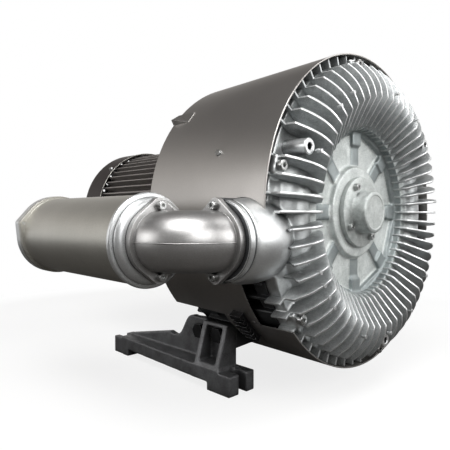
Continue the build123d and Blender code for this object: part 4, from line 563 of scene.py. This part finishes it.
# Geometry Nodes: copies of a blank turned round the shaft in equal steps, without those in a gap and
# without one in every few
def ringTree(name):
    tree = bpy.data.node_groups.new(name, "GeometryNodeTree")
    add = tree.interface.new_socket
    sockets = {}
    for label, kind, value in (("Count", "NodeSocketInt", 60), ("Skip Every", "NodeSocketInt", 1000),
                               ("Skip At", "NodeSocketInt", -1), ("Step", "NodeSocketFloat", 0.1),
                               ("Start", "NodeSocketFloat", 0.0), ("Gap From", "NodeSocketFloat", 0.0),
                               ("Gap To", "NodeSocketFloat", 0.0),
                               ("Shaft Height", "NodeSocketFloat", shaftHeight)):
        item = add(name=label, in_out="INPUT", socket_type=kind)
        item.default_value = value
        sockets[label] = item.identifier
    for label, kind in (("Blank", "NodeSocketObject"), ("Metal", "NodeSocketMaterial"),
                        ("Crest Metal", "NodeSocketMaterial")):
        sockets[label] = add(name=label, in_out="INPUT", socket_type=kind).identifier
    add(name="Geometry", in_out="OUTPUT", socket_type="NodeSocketGeometry")
    source = addNode(tree, "NodeGroupInput").outputs
    points = addNode(tree, "GeometryNodePoints", {"Count": source["Count"]})
    index = addNode(tree, "GeometryNodeInputIndex")
    angle = addNode(tree, "ShaderNodeMath",
                    {0: index.outputs[0], 1: source["Step"], 2: source["Start"]}, operation="MULTIPLY_ADD")
    after = addNode(tree, "ShaderNodeMath", {0: angle.outputs[0], 1: source["Gap From"]},
                    operation="GREATER_THAN")
    before = addNode(tree, "ShaderNodeMath", {0: angle.outputs[0], 1: source["Gap To"]},
                     operation="LESS_THAN")
    inside = addNode(tree, "ShaderNodeMath", {0: after.outputs[0], 1: before.outputs[0]},
                     operation="MULTIPLY")
    order = addNode(tree, "ShaderNodeMath", {0: index.outputs[0], 1: source["Skip Every"]},
                    operation="MODULO")
    skipped = addNode(tree, "ShaderNodeMath", {0: order.outputs[0], 1: source["Skip At"], 2: 0.5},
                      operation="COMPARE")
    left = addNode(tree, "ShaderNodeMath", {0: inside.outputs[0], 1: skipped.outputs[0]},
                   operation="MAXIMUM")
    # the angle is kept on the points, because deleting renumbers them
    stored = addNode(tree, "GeometryNodeStoreNamedAttribute",
                     {"Geometry": points.outputs[0], "Name": "turn", "Value": angle.outputs[0]},
                     domain="POINT")
    gone = addNode(tree, "GeometryNodeDeleteGeometry",
                   {"Geometry": stored.outputs[0], "Selection": left.outputs[0]}, domain="POINT")
    blank = addNode(tree, "GeometryNodeObjectInfo", {"Object": source["Blank"]})
    kept = addNode(tree, "GeometryNodeInputNamedAttribute", {"Name": "turn"})
    minus = addNode(tree, "ShaderNodeMath", {0: kept.outputs[0], 1: -1.0}, operation="MULTIPLY")
    turn = addNode(tree, "ShaderNodeCombineXYZ", {"Y": minus.outputs[0]})
    copies = addNode(tree, "GeometryNodeInstanceOnPoints",
                     {"Points": gone.outputs[0], "Instance": blank.outputs["Geometry"],
                      "Rotation": turn.outputs[0]})
    lift = addNode(tree, "ShaderNodeCombineXYZ", {"Z": source["Shaft Height"]})
    moved = addNode(tree, "GeometryNodeTransform",
                    {"Geometry": copies.outputs[0], "Translation": lift.outputs[0]})
    real = addNode(tree, "GeometryNodeRealizeInstances", {"Geometry": moved.outputs[0]})
    painted = addNode(tree, "GeometryNodeSetMaterial",
                      {"Geometry": real.outputs[0], "Material": source["Metal"]})
    crest = addNode(tree, "GeometryNodeInputNamedAttribute", {"Name": "crest"}, data_type="INT")
    isCrest = addNode(tree, "FunctionNodeCompare", {2: crest.outputs[0], 3: 0},
                      data_type="INT", operation="GREATER_THAN")
    bright = addNode(tree, "GeometryNodeSetMaterial",
                     {"Geometry": painted.outputs[0], "Selection": isCrest.outputs[0],
                      "Material": source["Crest Metal"]})
    addNode(tree, "NodeGroupOutput", {0: bright.outputs[0]})
    return tree, sockets


ringNodes, ringSockets = ringTree("copiesRoundShaft")


def roundShaft(name, blank, count, step, metal, crestMetal=None, start=0, gap=(0, 0), skip=(1000, -1)):
    host = newObject(name, bpy.data.meshes.new(name))
    modifier = host.modifiers.new("copies", "NODES")
    modifier.node_group = ringNodes
    for label, value in (("Count", count), ("Skip Every", skip[0]), ("Skip At", skip[1]),
                         ("Step", radians(step)), ("Start", radians(start)),
                         ("Gap From", radians(gap[0])), ("Gap To", radians(gap[1])),
                         ("Shaft Height", shaftHeight), ("Blank", blank), ("Metal", metal),
                         ("Crest Metal", crestMetal or metal)):
        modifier[ringSockets[label]] = value
    baked(host)
    bpy.data.objects.remove(blank)
    return host


def onCover(piece):
    settle(piece, None, replaced=["front_cover"])


onCover(coverShell())
# painted shade: the fins' flanks get the greyer flank metal for the shade between the fins; their crests get
# the ground crest metal
coverFins = roundShaft("coverFins", finBlank(), finShape["count"], finShape["step"], shadedFlankMetal, crestMetal,
                       gap=finShape["gap"], skip=(finShape["bossEvery"], finShape["bossFin"]))
bulgeFins = roundShaft("bulgeFins", finBlank(finShape["tipRadius"]), finShape["tipCount"],
                       finShape["step"], shadedFlankMetal, crestMetal, start=finShape["tipStart"])
bossFins = roundShaft("bossFins", finBlank(finShape["bossTip"]), bossShape["count"], bossShape["step"],
                      shadedFlankMetal, crestMetal, start=bossShape["start"])


def bossBlank():  # lifting boss with its threaded hole
    b = bossShape
    top, round, rim = -b["reach"], b["chamfer"], b["countersink"]
    profile = [(-b["foot"], b["radius"] + round), (top + round, b["radius"]), (top, b["radius"] - round),
               (top, b["bore"] + rim), (top + rim, b["bore"]), (top + b["depth"], b["bore"]),
               (top + b["depth"] + b["drillPoint"], 0.0), (-b["foot"], 0.0)]
    mesh = bmesh.new()
    lathe(mesh, profile, b["steps"])
    bmesh.ops.remove_doubles(mesh, verts=mesh.verts, dist=1e-6)
    bmesh.ops.translate(mesh, verts=mesh.verts, vec=(b["circle"], frontSplit, 0))
    crestLayer = mesh.faces.layers.int.new("crest")
    for face in mesh.faces:
        face[crestLayer] = 1 if face.calc_center_median().y < frontSplit + top + b["facing"] else 0
    return meshObject("bossBlank", mesh, 30)


liftingBosses = roundShaft("liftingBosses", bossBlank(), bossShape["count"], bossShape["step"],
                           finishes["cast_aluminium"], crestMetal, start=bossShape["start"])
for piece in (coverFins, bulgeFins, bossFins, liftingBosses):
    onCover(piece)

ejectorPads = {"circle": 0.2195, "radius": 0.0034, "top": 0.0775, "bottom": 0.070, "steps": 16,
               # start, count and step of each row
               "rows": ((204, 4, 6), (156, 1, 6), (252, 4, 24), (6, 4, 24), (120, 2, 12))}


def padBlank():
    p = ejectorPads
    mesh = bmesh.new()
    peg(mesh, (p["circle"], frontSplit - p["bottom"], 0), (p["circle"], frontSplit - p["top"], 0),
        p["radius"], p["steps"])
    return meshObject("padBlank", mesh, 40)


for row, (start, count, step) in enumerate(ejectorPads["rows"]):
    onCover(roundShaft(f"ejectorPads{row}", padBlank(), count, step, crestMetal, start=start))
print("front cover done")


# bearing cap: turned disc and nose with the radii of a casting
hubShape = {
    "seat": -0.332, "face": -0.341, "radius": 0.064, "neck": 0.0385, "noseFace": -0.367, "wall": 0.006,
    "bearing": 0.040, "bearingStart": -0.3365, "bore": 0.030, "steps": 120,
    # steps from the face or the nose's face to each corner of the outline, and from the radius it nears
    "rim": ((0.0018, 0), (0.0005, -0.0005), (0, -0.0018)),
    "fillet": ((0, 0.0035), (-0.001, 0.0012), (-0.0035, 0)),
    "nose": ((0.009, -0.0008), (0.0035, -0.0008), (0.0012, -0.0018), (0, -0.0042), (0, -0.0075),
             (0.0008, -0.0085)),
    "dish": 0.0008,
}


def capOutline():
    h = hubShape
    inside = h["noseFace"] + h["wall"]
    outline = [(h["seat"], h["bearing"]), (h["seat"], h["radius"])]
    outline += [(h["face"] + y, h["radius"] + r) for y, r in h["rim"]]
    outline += [(h["face"] + y, h["neck"] + r) for y, r in h["fillet"]]
    outline += [(h["noseFace"] + y, h["neck"] + r) for y, r in h["nose"]]
    outline += [(h["noseFace"] + h["dish"], 0.0), (inside, 0.0), (inside, h["bore"])]
    return outline + [(h["bearingStart"], h["bore"]), (h["bearingStart"], h["bearing"])]


mesh = bmesh.new()
lathe(mesh, capOutline(), hubShape["steps"])
bmesh.ops.transform(mesh, verts=mesh.verts, matrix=toShaft)
settle(meshObject("bearingCap", mesh, 30), hubMetal, replaced=["bearing_cap"])

# grease nipple on the hub ring
nipple = {"place": (0.038, 0.278), "face": -0.3305, "steps": 24,
          "outline": [(0, 0), (0, 0.0048), (-0.003, 0.0048), (-0.003, 0.0030), (-0.005, 0.0024),
                      (-0.007, 0.0032), (-0.0095, 0.0026), (-0.0105, 0.0008), (-0.0105, 0)]}
mesh = bmesh.new()
lathe(mesh, [(nipple["face"] + y, r) for y, r in nipple["outline"]], nipple["steps"])
bmesh.ops.translate(mesh, verts=mesh.verts, vec=(nipple["place"][0], 0, nipple["place"][1]))
settle(meshObject("greaseNipple", mesh, 30), finishes["zinc_steel"])

# machined rims of the two ports
portRim = {"steps": 96,
           "outline": [(0.3135, 0.0570), (0.3147, 0.0588), (0.3226, 0.0588), (0.3242, 0.0572),
                       (0.3242, 0.0560)]}
for name, side in sides.items():
    mesh = bmesh.new()
    lathe(mesh, portRim["outline"], portRim["steps"])
    bmesh.ops.transform(mesh, verts=mesh.verts, matrix=Matrix.Translation((0, portPlanes[name], portHeight))
                        @ Matrix.Rotation(-side * pi / 2, 4, "Z"))
    settle(meshObject("portRim" + name.title(), mesh, 30), finishes["cast_aluminium"])

# silencer collars: a domed face, a groove and a rolled bead over the end of the tube
collarShape = {
    "x": 0.3885, "faces": {"left": -0.2365, "right": -0.0665}, "steps": 120,
    "outline": [(0, 0.038), (0, 0.054), (0.0006, 0.0562), (0.0022, 0.0588), (0.0045, 0.0612),
                (0.0065, 0.0626), (0.0078, 0.0630), (0.0082, 0.0618), (0.0096, 0.0618), (0.0100, 0.0648),
                (0.0106, 0.0672), (0.0122, 0.0688), (0.0145, 0.0693), (0.0168, 0.0688), (0.0184, 0.0674),
                (0.0188, 0.0645), (0.0255, 0.0638), (0.0255, 0.0600), (0.0060, 0.0560), (0.0060, 0.038)],
}
for name, side in sides.items():
    mesh = bmesh.new()
    face = collarShape["faces"][name]
    lathe(mesh, [(face + y, r) for y, r in collarShape["outline"]], collarShape["steps"])
    bmesh.ops.translate(mesh, verts=mesh.verts, vec=(side * collarShape["x"], 0, portHeight))
    settle(meshObject(name + "Collar", mesh, 30), finishes["cast_aluminium"],
           replaced=[name + "_silencer_collar"])


# thin round bead along a path of points
def bead(name, path, radius, steps=8, closed=False):
    points = [Vector(p) for p in path]
    mesh = bmesh.new()
    rings = []
    for i, point in enumerate(points):
        ahead = points[(i + 1) % len(points)] if closed or i + 1 < len(points) else point
        behind = points[i - 1] if closed or i else point
        turn = (ahead - behind).to_track_quat("Z", "Y").to_matrix()
        rings.append([mesh.verts.new(point + turn @ Vector((radius * cos(2 * pi * k / steps),
                                                            radius * sin(2 * pi * k / steps), 0)))
                      for k in range(steps)])
    for i in range(len(rings) - (0 if closed else 1)):
        near, far = rings[i], rings[(i + 1) % len(rings)]
        for k in range(steps):
            mesh.faces.new((near[k], near[(k + 1) % steps], far[(k + 1) % steps], far[k]))
    if not closed:
        mesh.faces.new(list(reversed(rings[0])))
        mesh.faces.new(rings[-1])
    return meshObject(name, mesh, 60)


# parting line of each elbow's casting, on the outside of its bend
elbowShape = {"start": 0.3345, "bend": 0.054, "pipe": 0.043, "ridge": 0.0008, "steps": 24}
for name, side in sides.items():
    e = elbowShape
    middle = portPlanes[name] + e["bend"]
    outside = e["bend"] + e["pipe"]
    turns = [pi / 2 * t / e["steps"] for t in range(e["steps"] + 1)]
    path = [(side * (e["start"] + outside * sin(t)), middle - outside * cos(t), portHeight) for t in turns]
    settle(bead(name + "ElbowLine", path, e["ridge"]), finishes["elbow_casting"])


def onCircle(circle, angle, y):  # a point round the shaft, at an angle seen from the front
    return circle * cos(radians(angle)), y, shaftHeight + circle * sin(radians(angle))


# rolled front edge of the upper shroud sheet, and a thin bead round the edge of the fan cowl in pale
# silver-grey paint: a painted highlight along the cowl's rim
rimBead = {"radius": 0.0014, "circle": 0.2790, "y": -0.344, "from": -39, "to": 181, "step": 2}
path = [onCircle(rimBead["circle"], a, rimBead["y"])
        for a in range(rimBead["from"], rimBead["to"] + 1, rimBead["step"])]
settle(bead("shroudRimBead", path, rimBead["radius"]), finishes["shroud_paint"])
# painted highlight: the pale bead on the dark cowl stands for the light line along its edge
cowlHighlightBead = {"radius": 0.0009, "circle": 0.1648, "y": 0.3142, "step": 3}
path = [onCircle(cowlHighlightBead["circle"], a, cowlHighlightBead["y"]) for a in range(0, 360, cowlHighlightBead["step"])]
settle(bead("cowlEdgeBead", path, cowlHighlightBead["radius"], closed=True), finishes["silencer_paint"])

# folded clip at the rear edge of the upper sheet: it lies on the sheet and rises to the back
clip = {"angle": 139.5, "halfSpan": 2.75, "radius": 0.272, "back": -0.0595, "front": -0.105,
        # end, share of the half span and rise of each corner of the lid
        "lid": (("front", -1, 0.003), ("front", 1, 0.002), ("back", 0.7, 0.011), ("back", -0.9, 0.004))}
mesh = bmesh.new()
low = [mesh.verts.new(onCircle(clip["radius"], clip["angle"] + k * clip["halfSpan"], clip[end]))
       for end, k in (("front", -1), ("front", 1), ("back", 1), ("back", -1))]
high = [mesh.verts.new(onCircle(clip["radius"] + rise, clip["angle"] + k * clip["halfSpan"], clip[end]))
        for end, k, rise in clip["lid"]]
mesh.faces.new(low)
mesh.faces.new(list(reversed(high)))
for k in range(4):
    mesh.faces.new((low[k], high[k], high[(k + 1) % 4], low[(k + 1) % 4]))
settle(meshObject("shroudClip", mesh, 30), finishes["shroud_paint"])


# feet: the casting's own shape with corners softened by remeshing
footSkin = {"voxel": 0.0017, "passes": 5, "kept": 0.5}
for name in sides:
    piece = newObject(name + "Foot", nodes[name + "_foot"].data.copy())
    mesh = bmesh.new()
    mesh.from_mesh(piece.data)
    bmesh.ops.remove_doubles(mesh, verts=mesh.verts, dist=1e-6)
    mesh.to_mesh(piece.data)
    castSkin(piece, footSkin["voxel"], footSkin["passes"])
    thinned(piece, footSkin["kept"])
    settle(piece, finishes["foot_iron"], replaced=[name + "_foot"])
print("hub, collars and feet done")


# socket-head screws: one blank, placed by Geometry Nodes on points that carry the way they face
socketScrew = {  # for a thread of 1
    "steps": 24, "head": ((0.0, 0.80), (0.06, 0.80), (0.90, 0.80), (1.0, 0.72)),  # height and radius
    "socket": 0.40, "socketFloor": 0.45, "shank": 0.5, "shankLength": 1.0, "shankSteps": 16,
}


def screwBlank():
    s = socketScrew
    mesh = bmesh.new()
    turns = [2 * pi * k / s["steps"] for k in range(s["steps"])]
    rings = [[mesh.verts.new((r * cos(a), r * sin(a), h)) for a in turns] for h, r in s["head"]]
    # the rim of the hexagon has a point for each point of the head's
    hexagon = [s["socket"] * cos(pi / 6) / cos((a % (pi / 3)) - pi / 6) for a in turns]
    for h in (s["head"][-1][0], s["socketFloor"]):
        rings.append([mesh.verts.new((r * cos(a), r * sin(a), h)) for a, r in zip(turns, hexagon)])
    for near, far in zip(rings, rings[1:]):
        for k in range(s["steps"]):
            n = (k + 1) % s["steps"]
            mesh.faces.new((near[k], near[n], far[n], far[k]))
    mesh.faces.new(list(reversed(rings[0])))
    mesh.faces.new(rings[-1])
    peg(mesh, (0, 0, -s["shankLength"]), (0, 0, 0), s["shank"], s["shankSteps"])
    return meshObject("screwBlank", mesh)


def screwTree(name):
    tree = bpy.data.node_groups.new(name, "GeometryNodeTree")
    add = tree.interface.new_socket
    sockets = {}
    add(name="Geometry", in_out="INPUT", socket_type="NodeSocketGeometry")
    for label, kind in (("Thread", "NodeSocketFloat"), ("Blank", "NodeSocketObject"),
                        ("Metal", "NodeSocketMaterial")):
        sockets[label] = add(name=label, in_out="INPUT", socket_type=kind).identifier
    add(name="Geometry", in_out="OUTPUT", socket_type="NodeSocketGeometry")
    source = addNode(tree, "NodeGroupInput").outputs
    points = addNode(tree, "GeometryNodeMeshToPoints", {"Mesh": source["Geometry"]})
    facing = addNode(tree, "GeometryNodeInputNamedAttribute", {"Name": "facing"},
                     data_type="FLOAT_VECTOR")
    aligned = addNode(tree, "FunctionNodeAlignRotationToVector", {"Vector": facing.outputs[0]}, axis="Z")
    blank = addNode(tree, "GeometryNodeObjectInfo", {"Object": source["Blank"]})
    copies = addNode(tree, "GeometryNodeInstanceOnPoints",
                     {"Points": points.outputs[0], "Instance": blank.outputs["Geometry"],
                      "Rotation": aligned.outputs[0], "Scale": source["Thread"]})
    real = addNode(tree, "GeometryNodeRealizeInstances", {"Geometry": copies.outputs[0]})
    painted = addNode(tree, "GeometryNodeSetMaterial",
                      {"Geometry": real.outputs[0], "Material": source["Metal"]})
    addNode(tree, "NodeGroupOutput", {0: painted.outputs[0]})
    return tree, sockets


screwNodes, screwSockets = screwTree("socketScrews")


def screws(name, blank, places, thread, replaced):
    data = bpy.data.meshes.new(name)
    data.from_pydata([place for place, facing in places], [], [])
    facings = data.attributes.new("facing", "FLOAT_VECTOR", "POINT")
    for i, (place, facing) in enumerate(places):
        facings.data[i].vector = facing
    host = newObject(name, data)
    modifier = host.modifiers.new("screws", "NODES")
    modifier.node_group = screwNodes
    for label, value in (("Thread", thread), ("Blank", blank), ("Metal", finishes["zinc_steel"])):
        modifier[screwSockets[label]] = value
    baked(host)
    settle(host, None, replaced=[replaced])


screwShape = {
    "capThread": 0.008, "capCircle": 0.052, "capSeat": -0.341, "capAngles": (30, 120, 210, 300),
    "coverThread": 0.010, "coverCircle": 0.260, "coverSeat": -0.348,
    "elbowThread": 0.008, "earOffset": 0.050, "elbowSeat": 0.3345, "pipe": 0.3885,
    "pipeSeats": {"left": -0.247, "right": -0.077},
}
forward = (0, -1, 0)
blank = screwBlank()
for name, part, angles, replaced in (
        ("capScrews", "cap", screwShape["capAngles"], "bearing_cap_screws"),
        ("coverScrews", "cover", coverShape["lugAngles"], "cover_bolts")):
    places = [(onCircle(screwShape[part + "Circle"], a, screwShape[part + "Seat"]), forward) for a in angles]
    screws(name, blank, places, screwShape[part + "Thread"], replaced)
places = []
for name, side in sides.items():
    for ear in (-1, 1):
        height = portHeight + ear * screwShape["earOffset"]
        places.append(((side * screwShape["elbowSeat"], portPlanes[name], height), (side, 0, 0)))
        places.append(((side * screwShape["pipe"], screwShape["pipeSeats"][name], height), forward))
screws("elbowScrews", blank, places, screwShape["elbowThread"], "elbow_screws")
bpy.data.objects.remove(blank)
print("screws done")


# pale paper floor that fades to white, a bright horizon and a dim ceiling
studio = {
    "floor": "#f6f6f5", "bounce": "#4a4846", "floorSize": 9, "floorDrop": 0.0006,
    "fadeStart": 0.5, "fadeEnd": 1.1, "lift": 0.80, "behind": (0.7, 0.7, 0), "backFrom": 0.2, "backTo": 1.2,
    "horizon": "#ffffff", "middle": "#d2ceca", "ceiling": "#2e2825", "ceilingAt": 0.66, "fill": 0.42,
    "frontDim": 0.30, "dimFrom": -0.7, "dimTo": 0.3, "white": (1, 1, 1, 1), "aim": (0, 0, 0.3),
}
floorMesh = bpy.data.meshes.new("studioFloor")
grid = bmesh.new()
bmesh.ops.create_grid(grid, x_segments=1, y_segments=1, size=studio["floorSize"])
bmesh.ops.translate(grid, verts=grid.verts, vec=(0, 0, -studio["floorDrop"]))
grid.to_mesh(floorMesh)
floor = newObject("studioFloor", floorMesh)
floorPaint = bpy.data.materials.new("palePaper")
floorPaint.use_nodes = True
tree = floorPaint.node_tree
tree.nodes.clear()
place = addNode(tree, "ShaderNodeTexCoord").outputs["Object"]
distance = addNode(tree, "ShaderNodeVectorMath", {0: place}, operation="LENGTH")
fade = addNode(tree, "ShaderNodeMapRange",
               {"Value": distance.outputs["Value"], "From Min": studio["fadeStart"],
                "From Max": studio["fadeEnd"]}, interpolation_type="SMOOTHSTEP")
# only the part behind the machine is backdrop in its reflections
behindIt = addNode(tree, "ShaderNodeVectorMath", {0: place, 1: studio["behind"]}, operation="DOT_PRODUCT")
backPart = addNode(tree, "ShaderNodeMapRange",
                   {"Value": behindIt.outputs["Value"], "From Min": studio["backFrom"],
                    "From Max": studio["backTo"]})
path = addNode(tree, "ShaderNodeLightPath")
mirror = addNode(tree, "ShaderNodeMath",
                 {0: path.outputs["Is Glossy Ray"], 1: path.outputs["Is Transmission Ray"]},
                 operation="MAXIMUM")
mirrorBack = addNode(tree, "ShaderNodeMath", {0: mirror.outputs[0], 1: backPart.outputs[0]},
                     operation="MULTIPLY")
seen = addNode(tree, "ShaderNodeMath", {0: path.outputs["Is Camera Ray"], 1: mirrorBack.outputs[0]},
               operation="MAXIMUM")
away = addNode(tree, "ShaderNodeMath", {0: fade.outputs[0], 1: seen.outputs[0]}, operation="MULTIPLY")
lift = addNode(tree, "ShaderNodeMath", {0: path.outputs["Is Camera Ray"], 1: studio["lift"]},
               operation="MULTIPLY")
white = addNode(tree, "ShaderNodeMath", {0: away.outputs[0], 1: lift.outputs[0]}, operation="MAXIMUM")
sheet = addNode(tree, "ShaderNodeMix",
                {"Factor": path.outputs["Is Camera Ray"], 6: linear(studio["bounce"]),
                 7: linear(studio["floor"])}, data_type="RGBA")
paper = addNode(tree, "ShaderNodeBsdfDiffuse", {"Color": sheet.outputs[2]})
glow = addNode(tree, "ShaderNodeEmission", {"Color": studio["white"], "Strength": 1.0})
mixed = addNode(tree, "ShaderNodeMixShader", {0: white.outputs[0], 1: paper.outputs[0], 2: glow.outputs[0]})
addNode(tree, "ShaderNodeOutputMaterial", {"Surface": mixed.outputs[0]})
floorMesh.materials.append(floorPaint)

world = bpy.data.worlds.new("studio")
bpy.context.scene.world = world
world.use_nodes = True
tree = world.node_tree
tree.nodes.clear()
path = addNode(tree, "ShaderNodeLightPath")
direction = addNode(tree, "ShaderNodeTexCoord").outputs["Generated"]
parts = addNode(tree, "ShaderNodeSeparateXYZ", {0: direction})
rise = addNode(tree, "ShaderNodeMapRange",
               {"Value": parts.outputs["Z"], "From Min": 0.0, "From Max": studio["ceilingAt"]})
low = addNode(tree, "ShaderNodeMapRange", {"Value": rise.outputs[0], "From Min": 0.0, "From Max": 0.5})
high = addNode(tree, "ShaderNodeMapRange", {"Value": rise.outputs[0], "From Min": 0.5, "From Max": 1.0})
lower = addNode(tree, "ShaderNodeMix",
                {"Factor": low.outputs[0], 6: linear(studio["horizon"]), 7: linear(studio["middle"])},
                data_type="RGBA")
room = addNode(tree, "ShaderNodeMix",
               {"Factor": high.outputs[0], 6: lower.outputs[2], 7: linear(studio["ceiling"])},
               data_type="RGBA")
facing = addNode(tree, "ShaderNodeVectorMath", {0: direction, 1: studio["behind"]}, operation="DOT_PRODUCT")
dim = addNode(tree, "ShaderNodeMapRange",
              {"Value": facing.outputs["Value"], "From Min": studio["dimFrom"], "From Max": studio["dimTo"],
               "To Min": studio["frontDim"], "To Max": 1.0})
lightOnly = addNode(tree, "ShaderNodeBackground", {"Color": room.outputs[2], "Strength": studio["fill"]})
mirrored = addNode(tree, "ShaderNodeBackground", {"Color": room.outputs[2], "Strength": dim.outputs[0]})
backdrop = addNode(tree, "ShaderNodeBackground", {"Color": studio["white"], "Strength": 1.0})
glossy = addNode(tree, "ShaderNodeMixShader",
                 {0: path.outputs["Is Glossy Ray"], 1: lightOnly.outputs[0], 2: mirrored.outputs[0]})
cameraSees = addNode(tree, "ShaderNodeMixShader",
                     {0: path.outputs["Is Camera Ray"], 1: glossy.outputs[0], 2: backdrop.outputs[0]})
addNode(tree, "ShaderNodeOutputWorld", {"Surface": cameraSees.outputs[0]})

lamps = {
    "keySoftbox": {"place": (1.5, -1.0, 2.3), "size": 1.5, "power": 22},
    "frontSoftbox": {"place": (1.3, -2.7, 1.25), "size": 1.6, "power": 34},
    "leftSoftbox": {"place": (-1.1, -2.7, 1.55), "size": 1.7, "power": 36},
    "topSoftbox": {"place": (-1.0, -0.7, 2.1), "size": 1.3, "power": 46},
    "sideSoftbox": {"place": (-2.6, 0.9, 0.9), "size": 1.2, "power": 16},
}
for name, lamp in lamps.items():
    light = bpy.data.lights.new(name, "AREA")
    light.shape = "SQUARE"
    light.size = lamp["size"]
    light.energy = lamp["power"]
    stand = newObject(name, light)
    stand.location = lamp["place"]
    aim = Vector(studio["aim"]) - Vector(lamp["place"])
    stand.rotation_euler = aim.to_track_quat("-Z", "Y").to_euler()

view = {"lens": 37.6, "sensor": 36, "nearest": 0.01, "place": (-0.78414, -0.77699, 0.3179), "tilt": 1.417,
        "turn": -44.62}
cameraData = bpy.data.cameras.new("productCamera")
cameraData.lens = view["lens"]
cameraData.sensor_width = view["sensor"]
cameraData.clip_start = view["nearest"]
camera = newObject("productCamera", cameraData)
camera.location = view["place"]
camera.rotation_euler = (radians(90 - view["tilt"]), 0, radians(view["turn"]))
bpy.context.scene.camera = camera
bpy.context.scene.view_settings.view_transform = "Standard"
print("studio done")
